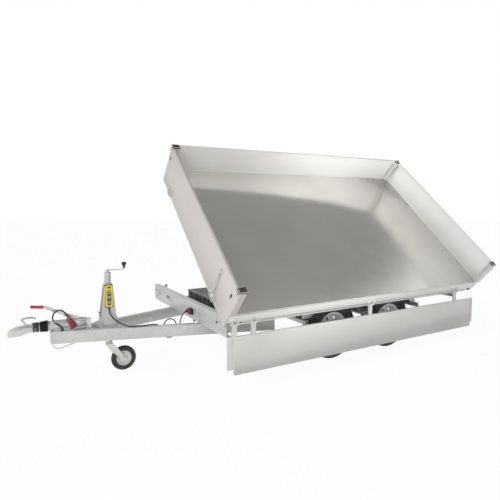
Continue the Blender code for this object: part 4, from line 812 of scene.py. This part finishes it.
# Front beam: slots, a blank plate and a gland
slots, blank, gland = shapes(3)
for y in (-0.826, 0.826):
    plate(slots, oval((y, 0.591), (0.02, 0.011)), "X", 1.7555, 1.7568)
plate(blank, oval((-0.526, 0.593), (0.056, 0.021), 40, 8.0), "X", 1.7555, 1.7582)
turned(gland, (1.735, 0.229, 0.4905), DOWN,
       [(0, 0), (13, 0), (13, 10), (10.5, 13), (10.5, 20), (6.5, 34), (0, 36)], 20)
piece("front_beam_slots", "plastic_black", slots, 0.0004)
piece("front_beam_blank_plate", "dark_steel", blank)
piece("front_beam_gland", "rubber", gland, 0)

# Front beam: the control's socket
SOCKET_FACE_X = 1.7925
SOCKET_Z = 0.572
socket = bmesh.new()
block(socket, (1.7562, 1.76), (0.158, 0.262), (0.539, 0.606))
turned(socket, (SOCKET_FACE_X, 0.183, SOCKET_Z), AHEAD,
       [(0, 0), (15, 0), (15, 10), (13, 13), (13, 20), (9, 22), (0, 22)], 24)
piece("control_socket_trim", "plastic_black", socket)
turned_piece(
    "control_socket_mark", "plastic_red", (SOCKET_FACE_X, 0.2375, SOCKET_Z), AHEAD,
    [(0, 0), (11, 0), (11, 8), (8.5, 12), (0, 12.5)], 24,
)

# Power unit and battery box: grey lids with ribs and black clips
for side, word in ((-1, "power_unit"), (1, "battery_box")):
    lid, clips = shapes(2)
    block(lid, (1.2565, 1.5635), (side * 0.0085, side * 0.3735), (0.678, 0.696))
    for i in range(4):
        block(lid, (1.29, 1.53), about(side * (0.08 + 0.074 * i), 0.01), (0.695, 0.701))
    for y in (0.1, 0.282):
        block(clips, (1.559, 1.569), about(side * y, 0.016), (0.65, 0.688))
        block(clips, (1.56, 1.572), about(side * y, 0.012), (0.662, 0.67))
    piece(f"{word}_lid", "plastic_grey", lid, 0.004)
    piece(f"{word}_clips", "plastic_black", clips, 0.0012)

# Rear lamps: black housings with ribbed lenses
LENSES = (
    (0.748, 0.814, "lamp_red", "tail"), (0.69, 0.744, "lamp_amber", "turn"),
    (0.606, 0.686, "lamp_red", "stop"),
)
for side, word in SIDES:
    housing = bmesh.new()
    block(housing, (-1.7003, -1.724), (side * 0.6, side * 0.82), (0.53, 0.63))
    lamp = piece(f"lamp_housing_{word}", "plastic_black", housing, 0.004)
    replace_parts(lamp, f"rear_lamp_{word}")
    for low, high, finish, kind in LENSES:
        lens = bmesh.new()
        block(lens, (-1.723, -1.74), (side * low, side * high), (0.536, 0.624))
        ribs = int((high - low) / 0.009)
        for i in range(1, ribs):
            rib_y = side * (low + (high - low) * i / ribs)
            block(lens, (-1.739, -1.7418), about(rib_y, 0.0016), (0.542, 0.618))
        piece(f"lamp_{kind}_{word}", finish, lens, 0.0024)

# Ram: wiper rings at the top of the barrel and of each stage, and the pivot's caps
RAM_X = 0.1
RAM_PIVOT_Z = 0.55
RAM_EYE_Z = 0.68
RAM_TOP = 0.612
RAM_STEP = 0.008
RAM_RADII_MM = (64, 52, 41, 30)
eye = Matrix.Rotation(-TIP_ANGLE, 4, "X") @ Vector((0, -TIP_AXIS.y, RAM_EYE_Z - TIP_AXIS.z)) + TIP_AXIS
RAM_LEAN = math.atan2(eye.y, eye.z - RAM_PIVOT_Z)
STAGE_STROKE = (math.hypot(eye.y, eye.z - RAM_PIVOT_Z) - RAM_EYE_Z + RAM_PIVOT_Z) / 3
for i, radius in enumerate(RAM_RADII_MM[:3]):
    place = (
        ON_CHASSIS @ Matrix.Translation((RAM_X, 0, RAM_PIVOT_Z)) @ Matrix.Rotation(-RAM_LEAN, 4, "X")
        @ Matrix.Translation((-RAM_X, 0, i * STAGE_STROKE - RAM_PIVOT_Z))
    )
    bore = RAM_RADII_MM[i + 1] + 1.2
    outer, depth = (radius + 5, 24) if i == 0 else (radius + 3, 4.5)
    profile = [(bore, 1.6), (outer - 2, 1.6), (outer, -0.6), (outer, -depth), (radius - 1, -depth - 1),
               (radius - 1, -1.2), (bore, -1)]
    body = "ram_barrel" if i == 0 else f"ram_stage_{i}"
    top = (RAM_X, 0, RAM_TOP + i * RAM_STEP)
    turned_piece(f"{body}_wiper", "zinc" if i else "ram_black", top, UP, profile, 40, body, place)
washers = bmesh.new()
for x in (-0.0915, 0.0915):
    turned(washers, (RAM_X + x, 0, RAM_PIVOT_Z), (math.copysign(1, x), 0, 0),
           [(0, 0), (30, 0), (30, 4), (16, 5), (14, 12), (0, 12)], 24)
piece("ram_pivot_caps", "zinc", washers, 0)

# Coupling: ball cup, side bolts, bellows with its clamps and cuff, strut and support wire
COUPLING_Z = 0.55
HEAD_SIDE_Y = 0.035
cup = bmesh.new()
turned(cup, (3.42, 0, 0.494), UP,
       [(27.5, -1.6), (39, -1.6), (40, 16), (36.5, 30), (28, 41), (14, 47.5),
        (0, 49), (0, 46.5), (12, 45.5), (24, 40), (27.5, 34)], 40)
for side in (1, -1):
    bead = ((3.212, 0.0345, 0.563), (3.29, 0.035, 0.565), (3.36, 0.035, 0.553), (3.4, 0.035, 0.538))
    tube(cup, catmull([(x, side * y, z) for x, y, z in bead], 5), 0.0045)
piece("coupling_cup", "zinc", cup, 0.0006)
head_bolts = bmesh.new()
for side in (1, -1):
    for x, z, radius in ((3.232, 0.546, 0.0095), (3.276, 0.544, 0.0095), (3.318, 0.562, 0.0065)):
        bolts(head_bolts, [(x, side * HEAD_SIDE_Y, z)], (0, side, 0), radius)
piece("coupling_bolts", "zinc", head_bolts, 0.0005)

BELLOWS_START = 3.1183
BELLOWS_FOLDS = 8
# In millimetres
BELLOWS_LENGTH = 86.7
BELLOWS_LIP = 10
step = (BELLOWS_LENGTH - 2 * BELLOWS_LIP) / BELLOWS_FOLDS
folds = [(25.6, BELLOWS_LENGTH), (40, BELLOWS_LENGTH), (40, BELLOWS_LENGTH - BELLOWS_LIP)]
for i in range(BELLOWS_FOLDS):
    high = BELLOWS_LENGTH - BELLOWS_LIP - step * i
    waves = ((41.5, 0.12), (51, 0.38), (52.5, 0.5), (51, 0.62))
    folds += [(radius + 0.7 * i, high - part * step) for radius, part in waves]
folds += [(49, 10), (50, 9.5), (50, 0), (25.6, 0)]
bellows = turned_piece("bellows", "rubber", (BELLOWS_START, 0, COUPLING_Z), AHEAD, folds, 48)
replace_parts(bellows, "coupling_bellows")
clamps = bmesh.new()
for low, radius in ((2, 50), (BELLOWS_LENGTH - 8.5, 40)):
    start, top = BELLOWS_START + MM * low, COUPLING_Z + MM * radius
    band = [(radius - 1, 0), (radius + 1.2, 0), (radius + 1.2, 6), (radius - 1, 6)]
    turned(clamps, (start, 0, COUPLING_Z), AHEAD, band, 40)
    block(clamps, (start, start + 0.006), (-0.008, 0.008), (top, top + 0.007))
piece("bellows_clamps", "zinc", clamps, 0.0004)
cuff_start = BELLOWS_START + MM * BELLOWS_LENGTH + 0.0015
turned_piece(
    "bellows_cuff", "rubber", (cuff_start, 0, COUPLING_Z), AHEAD,
    [(38, 0), (47, 0), (48.5, 4), (45.5, 14), (44, 34), (46.5, 40), (45.5, 47), (38, 47)], 40,
)

STRUT_Y = 0.078
strut = bmesh.new()
block(strut, (2.746, 2.776), about(STRUT_Y, 0.009), (0.4975, 0.604))
block(strut, (3.082, 3.104), (0.028, STRUT_Y + 0.009), (0.58, 0.604))
turned(strut, (2.772, STRUT_Y, 0.592), (1, 0, 0.012),
       [(0, 0), (10, 0), (11, 3), (11, 165), (9, 170), (5, 171), (5, 312),
        (0, 312)], 24)
bolts(strut, [(2.761, STRUT_Y + 0.009, 0.591), (3.093, STRUT_Y + 0.009, 0.593)], LEFT, 0.0065)
piece("handbrake_strut", "zinc", strut, 0.0006)
wire = bmesh.new()
wire_route = [
    (3.092, 0.02, 0.384), (3.09, 0.02, 0.366), (3.072, 0.021, 0.338), (3.046, 0.022, 0.326),
    (3.01, 0.023, 0.328), (2.95, 0.029, 0.346), (2.905, 0.035, 0.358), (2.888, 0.037, 0.368),
    (2.884, 0.038, 0.384),
]
tube(wire, catmull(wire_route, 4), 0.0048, 12)
piece("support_wire", "zinc", wire, 0)

# Handbrake: a grip with finger grooves, and a toothed sector beside the lever
LEVER_X = 2.854
LEVER_Z = 0.595
LEVER_Y = 0.0535
grooves = [(13.6 if i % 2 else 15, 20 + 7.5 * i) for i in range(9)]
profile = [(0, 0), (12.5, 0), (15, 4), *grooves, (15, 90), (14.6, 100), (12.5, 108), (7, 111.8), (0, 112.3)]
grip = turned_piece(
    "handbrake_grip_ribbed", "plastic_red", (3.1605, LEVER_Y, 0.744),
    (0.1115, 0, 0.013), profile, 28,
)
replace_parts(grip, "handbrake_grip")
sector = bmesh.new()
teeth = []
for i in range(25):
    turn = math.radians(70 - 4 * i)
    reach = 0.05 + (0.003 if i % 2 else 0)
    teeth.append((LEVER_X + reach * math.cos(turn), LEVER_Z + reach * math.sin(turn)))
teeth += [(LEVER_X - 0.004, LEVER_Z - 0.04), (LEVER_X - 0.016, LEVER_Z), (LEVER_X, LEVER_Z + 0.016)]
plate(sector, teeth, "Y", 0.0592, 0.0632)
bolts(sector, [(LEVER_X, 0.0632, LEVER_Z)], LEFT, 0.008)
piece("handbrake_sector", "zinc", sector, 0.0004)

# Bolts on the overrun plate and the tower's foot, and the tower's gussets
JOCKEY_X = 2.566
FOOT_TOP = 0.4963
drawbar_bolts = bmesh.new()
plate_spots = ((2.775, -0.105), (2.775, 0.105), (2.88, -0.076), (2.98, -0.05), (2.94, 0.062))
foot_spots = ((2.49, 0.19), (2.49, -0.19), (2.652, 0.142), (2.652, -0.142))
bolts(drawbar_bolts, [(x, y, FOOT_TOP + 0.002) for x, y in plate_spots], UP, BOLT)
bolts(drawbar_bolts, [(x, y, FOOT_TOP) for x, y in foot_spots], UP, BOLT)
piece("drawbar_bolts", "zinc", drawbar_bolts, 0.0005)
tower_gussets = bmesh.new()
for side in (1, -1):
    for way in (1, -1):
        corners = ((0.07, 0.598), (0.07, 0.4966), (0.092, 0.4966), (0.092, 0.512))
        plate(tower_gussets, [(JOCKEY_X + way * x, z) for x, z in corners], "Y", side * 0.03, side * 0.035)
piece("tower_gussets", "galvanised", tower_gussets)

# Jockey wheel: collars, clamp handle, crank knob, castor wheel and fork bolts
collars = bmesh.new()
COLLARS = ((899.5, 914, 41), (1008, 1020.5, 35.5), (338, 352, 36.5), (330.5, 338, 34.5))
for low, high, radius in COLLARS:
    tall = high - low
    band = [(32.5, 0), (radius, 0), (radius, tall - 2), (radius - 2, tall), (32.5, tall)]
    turned(collars, (JOCKEY_X, 0, MM * low), UP, band, 40)
turned(collars, (JOCKEY_X, 0, 1.02), UP, [(0, 0), (33.5, 0), (32.5, 3), (16, 6), (0, 6)], 40)
piece("jockey_collars", "zinc", collars, 0)
CLAMP_Z = 0.624
clamp = bmesh.new()
block(clamp, (JOCKEY_X + 0.02, JOCKEY_X + 0.044), (-0.036, 0.036), about(CLAMP_Z, 0.024))
barrel(clamp, (JOCKEY_X + 0.04, 0, CLAMP_Z), (JOCKEY_X + 0.1, 0, CLAMP_Z), 0.0065)
barrel(clamp, (JOCKEY_X + 0.098, -0.036, CLAMP_Z), (JOCKEY_X + 0.098, 0.036, CLAMP_Z), 0.006)
piece("jockey_clamp", "zinc", clamp, 0.001)
turned_piece(
    "crank_knob", "plastic_black", (2.4, 0, 1.052), UP,
    [(0, 62.8), (12, 62.2), (20.7, 58.8), (24, 52), (24, 44), (20, 31.6), (12, 21.4), (12, 1), (0, 1)], 32,
)

HUB = (2.424, 0, 0.125)
half_tread = [(78.5, 17), (85, 22.5), (93, 26.8), (102, 27.5), (111, 25.8), (118, 21),
              (122.5, 15), (124, 11), (122.5, 10.4), (122.5, 9), (124.5, 8.4), (125, 3),
              (123.2, 2.4), (123.2, 0)]
tread = half_tread + [(r, -h) for r, h in half_tread[-2::-1]]
castor = turned_piece("jockey_tyre_round", "tyre", HUB, LEFT, tread, 64, "jockey_wheel")
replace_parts(castor, "jockey_tyre")
half_rim = [(9.8, 25.5), (21.5, 25.5), (24, 23.5), (25.5, 10), (32, 7), (48, 7),
            (53, 9.5), (58, 13), (64, 14.5), (69, 17), (73, 21.5), (76.5, 22.2),
            (78, 20), (78, 16.5)]
castor_rim, rim_holes, castor_bolts = shapes(3)
turned(castor_rim, HUB, LEFT, half_rim + [(r, -h) for r, h in half_rim[::-1]], 56)
for x, z in ring_of(4, 0.041, math.tau / 8):
    barrel(rim_holes, (HUB[0] + x, -0.03, HUB[2] + z), (HUB[0] + x, 0.03, HUB[2] + z), 0.0062)
for x, z in ring_of(4, 0.041, math.tau / 8 + 0.785):
    for side in (1, -1):
        bolts(castor_bolts, [(HUB[0] + x, side * 0.007, HUB[2] + z)], (0, side, 0), 0.0055)
rim_pressed = carved(castor_rim, rim_holes)
castor = piece("jockey_rim_pressed", "aluminium_grey", rim_pressed, 0, "jockey_wheel")
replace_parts(castor, "jockey_rim")
piece("jockey_rim_bolts", "zinc", castor_bolts, 0.0004, "jockey_wheel")
axle_bolts = bmesh.new()
for side in (1, -1):
    bolts(axle_bolts, [(HUB[0], side * 0.04, HUB[2])], (0, side, 0), 0.011)
turned(axle_bolts, (JOCKEY_X, 0, 0.302), UP, [(29.5, 0), (34.5, 0), (34.5, 10), (29.5, 12)], 36)
piece("jockey_fork_bolts", "zinc", axle_bolts, 0.0005, "jockey_swivel")

# Pendant: a black case with a yellow face, a black key field and grey keys, on a hanger
PENDANT_X = 2.571
PENDANT_Y = 0.0813
face, field, keys, rings = shapes(4)
plate(face, oval((PENDANT_X, 0.792), (0.0345, 0.108), 48, 7.0), "Y", PENDANT_Y - 0.001, PENDANT_Y + 0.0018)
for low, high in ((2.608, 2.6104), (2.5316, 2.534)):
    block(face, (low, high), (0.05, 0.077), (0.694, 0.89))
plate(field, oval((PENDANT_X, 0.776), (0.02, 0.074), 48, 6.0), "Y", PENDANT_Y + 0.001, PENDANT_Y + 0.0032)
plate(field, oval((PENDANT_X, 0.878), (0.016, 0.0085), 32, 5.0), "Y", PENDANT_Y + 0.001, PENDANT_Y + 0.003)
for z in (0.828, 0.78, 0.732):
    at = (PENDANT_X, PENDANT_Y + 0.0028, z)
    turned(rings, at, LEFT, [(11.5, 0), (15, 0), (15, 2), (13, 3), (11.5, 3)])
    turned(keys, at, LEFT, [(0, 5.2), (7, 4.8), (10.5, 3), (11.3, 0), (0, 0)])
piece("pendant_face", "plastic_yellow", face, 0.0006)
piece("pendant_field", "plastic_black", field, 0.0005)
piece("pendant_rings", "plastic_white", rings, 0)
piece("pendant_keys", "plastic_grey", keys, 0)
hanger = bmesh.new()
bow = ((2.56, 0.902), (2.56, 0.914), (2.566, 0.92), (2.576, 0.92), (2.582, 0.914), (2.582, 0.902))
tube(hanger, catmull([(x, 0.062, z) for x, z in bow], 4), 0.0028)
block(hanger, (2.556, 2.586), (0.044, 0.05), (0.894, 0.926))
piece("pendant_hanger", "zinc", hanger, 0.0004)

# Cords: the control's cable and the lead to the towing vehicle, each with a tapered strain relief
CONTROL_ROUTE = [
    (2.571, 0.064, 0.6796), (2.571, 0.064, 0.671), (2.571, 0.064, 0.662), (2.57, 0.066, 0.645),
    (2.565, 0.075, 0.615), (2.545, 0.1, 0.575), (2.505, 0.14, 0.54), (2.46, 0.18, 0.512),
    (2.41, 0.212, 0.498), (2.34, 0.232, 0.4965),
    (2.26, 0.248, 0.4965), (2.19, 0.256, 0.4985), (2.13, 0.235, 0.48), (2.09, 0.205, 0.42),
    (2.06, 0.185, 0.355), (2.01, 0.178, 0.32), (1.95, 0.176, 0.325), (1.915, 0.172, 0.375),
    (1.91, 0.168, 0.44), (1.935, 0.168, 0.49), (1.98, 0.172, 0.51), (2.03, 0.172, 0.49),
    (2.05, 0.166, 0.43), (2.035, 0.16, 0.37), (1.99, 0.156, 0.335), (1.935, 0.156, 0.345),
    (1.895, 0.16, 0.395), (1.87, 0.17, 0.46), (1.858, 0.186, 0.52), (1.843, 0.202, 0.556),
    (1.822, 0.21, 0.572), (1.808, 0.21, 0.572), (1.7936, 0.21, 0.572),
]
LEAD_ROUTE = [
    (3.005, 0.054, 0.4987), (3.005, 0.054, 0.507), (3.005, 0.054, 0.516), (3.018, 0.06, 0.542),
    (3.06, 0.07, 0.58), (3.088, 0.076, 0.625), (3.078, 0.082, 0.678), (3.035, 0.088, 0.707),
    (3.0, 0.094, 0.697), (2.979, 0.098, 0.672), (2.965, 0.1, 0.6461), (2.9555, 0.1, 0.6285),
]
CABLE_RADIUS = 0.006
LEAD_RADIUS = 0.007
PLUG_END = Vector((2.905, 0.1, 0.535))


def cable(name, route, radius):
    """A round cable along a route, and the points that it follows in the frame."""
    shape = bmesh.new()
    line = [Vector(p) for p in route]
    tube(shape, line, radius, 16)
    return piece(name, "rubber", shape, 0), [tuple(ON_CHASSIS @ p) for p in line]


def relief(name, start, toward, profile, steps=20):
    """A tapered strain relief where a cord leaves the object."""
    return turned_piece(name, "rubber", start, toward, profile, steps)


pendant_relief = relief(
    "pendant_strain_relief", (PENDANT_X, 0.064, 0.6815), DOWN,
    [(0, 0), (11.5, 0), (11.5, 6), (9.5, 8), (7.2, 26), (0, 26)], 20,
)
socket_relief = relief(
    "socket_strain_relief", (SOCKET_FACE_X, 0.21, SOCKET_Z), AHEAD,
    [(0, 0), (11.5, 0), (11.5, 6), (9.5, 8), (7.2, 28), (0, 28)], 20,
)
lead_relief = relief(
    "lead_strain_relief", (3.005, 0.054, 0.4975), UP,
    [(0, 0), (15, 0), (15, 4), (11.5, 6), (8.2, 24), (0, 24)], 24,
)
lead_end = Vector(LEAD_ROUTE[-1])
plug_way = PLUG_END - lead_end
plug_collar = turned_piece(
    "lead_plug_collar", "plastic_grey", lead_end, plug_way,
    [(0, -22), (8.2, -22), (11.5, -4), (17, -2), (22.5, 2), (23.5, 10), (22.8, 11), (0, 11)], 32,
)
ribs = bmesh.new()
for i in range(4):
    low = 30 + 14 * i
    radius = 22 + 0.008 * low / plug_way.length
    rib = [(radius - 2, low), (radius + 1.6, low + 1), (radius + 1.8, low + 5), (radius - 2, low + 6)]
    turned(ribs, lead_end, plug_way, rib)
plug_ribs = piece("lead_plug_ribs", "plug_red", ribs, 0)
plug_mouth = turned_piece(
    "lead_plug_mouth", "plastic_black", lead_end, plug_way,
    [(0, 95), (30, 95), (31.6, 97), (31.6, 107.5), (29, 108.2), (27, 107.2), (0, 107.2)], 40,
)

control_cord, control_line = cable("control_cord", catmull(CONTROL_ROUTE, 2), CABLE_RADIUS)
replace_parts(control_cord, "control_cable")
lead_cord, lead_line = cable("lead_cord", catmull(LEAD_ROUTE, 2), LEAD_RADIUS)
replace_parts(lead_cord, "lead")

# Seals along the floor's closed edges
seal = bmesh.new()
SEAL_Z = (FLOOR_TOP - 0.0035, FLOOR_TOP - 0.0004)
block(seal, (-HALF_LENGTH, HALF_LENGTH), (-HALF_WIDTH - 0.0046, -HALF_WIDTH + 0.001), SEAL_Z)
block(seal, (-HALF_LENGTH - 0.0046, -HALF_LENGTH + 0.001), (-HALF_WIDTH, HALF_WIDTH), SEAL_Z)
piece("floor_seals", "aluminium", seal, 0.0006, "bed")

# Floor, sky and light
FLOOR_HALF = 60.0
FLOOR_WHITE = 0.95


def background_rays(tree):
    """1 for the rays that see the background: those of the camera, of reflections and through glass."""
    rays = tree.nodes.new("ShaderNodeLightPath")
    found = rays.outputs["Is Camera Ray"]
    for name in ("Is Glossy Ray", "Is Transmission Ray"):
        found = node_of(tree, "Math", {0: found, 1: rays.outputs[name]}, operation="MAXIMUM")
    return found


floor_mesh = bpy.data.meshes.new("studio_floor")
floor_shape = bmesh.new()
bmesh.ops.create_grid(floor_shape, x_segments=1, y_segments=1, size=FLOOR_HALF)
floor_shape.to_mesh(floor_mesh)
floor_shape.free()
floor = bpy.data.objects.new("studio_floor", floor_mesh)
floor.location = (0, 0, -0.0005)
link(floor)
floor_material = bpy.data.materials.new("studio_floor")
floor_material.use_nodes = True
floor_tree = floor_material.node_tree
floor_shader = floor_tree.nodes["Principled BSDF"]
floor_shader.inputs["Base Color"].default_value = (0.9, 0.9, 0.9, 1)
floor_shader.inputs["Roughness"].default_value = 0.9
floor_shader.inputs["Specular IOR Level"].default_value = 0.0
white = node_of(floor_tree, "Emission", {})
share = node_of(floor_tree, "Math", {0: background_rays(floor_tree), 1: FLOOR_WHITE}, operation="MULTIPLY")
blend = node_of(floor_tree, "MixShader", {"Fac": share, 1: floor_shader.outputs["BSDF"], 2: white})
floor_tree.links.new(blend, floor_tree.nodes["Material Output"].inputs["Surface"])
floor_mesh.materials.append(floor_material)

# The sky is white round the horizon with a grey ceiling overhead, which the camera doesn't see
SKY_LIGHT = 0.74
CEILING = 0.3
CEILING_FROM = 0.38
CEILING_TO = 0.6
world = bpy.data.worlds.new("studio")
bpy.context.scene.world = world
world.use_nodes = True
world_tree = world.node_tree
background = world_tree.nodes["Background"]
direction = node_of(world_tree, "TexCoord", {}, "Generated")
height = node_of(world_tree, "SeparateXYZ", {"Vector": direction}, "Z")
tone = spread(world_tree, height, 1.0, CEILING, (CEILING_FROM, CEILING_TO))
tone.node.interpolation_type = "SMOOTHSTEP"
camera_ray = node_of(world_tree, "LightPath", {}, "Is Camera Ray")
seen = node_of(world_tree, "Math", {0: tone, 1: camera_ray}, operation="MAXIMUM")
world_tree.links.new(seen, background.inputs["Color"])
strength = spread(world_tree, background_rays(world_tree), SKY_LIGHT, 1.0, (0, 1))
world_tree.links.new(strength, background.inputs["Strength"])

# Lamps: name, place, aim, size, power and spread in degrees
LAMPS = (
    ("side", (3.4, 3.8, 1.2), (1.7, 1.1, 0.4), 1.5, 50.0, 180),
    ("tail", (0.9, 2.9, 1.0), (-1.7, -0.6, 1.8), 1.4, 9.0, 40),
    ("back", (0.0, -5.5, 5.0), (0.0, 0.0, 1.0), 4.0, 40.0, 180),
)
for name, place, aim, size, power, spread_angle in LAMPS:
    data = bpy.data.lights.new(name, "AREA")
    data.shape = "SQUARE"
    data.size = size
    data.energy = power
    data.spread = math.radians(spread_angle)
    lamp = bpy.data.objects.new(name, data)
    toward = Vector(aim) - Vector(place)
    lamp.matrix_world = Matrix.Translation(place) @ toward.to_track_quat("-Z", "Y").to_matrix().to_4x4()
    lamp.visible_glossy = False
    lamp.visible_camera = False
    link(lamp)

# The key light comes evenly from the front left
SUN_FROM = (0.6, 0.15, 0.75)
sun_data = bpy.data.lights.new("key", "SUN")
sun_data.angle = math.radians(30)
sun_data.energy = 1.1
sun = bpy.data.objects.new("key", sun_data)
sun.matrix_world = Vector(SUN_FROM).to_track_quat("Z", "Y").to_matrix().to_4x4()
sun.visible_glossy = False
link(sun)

bpy.context.scene.view_settings.view_transform = "Standard"
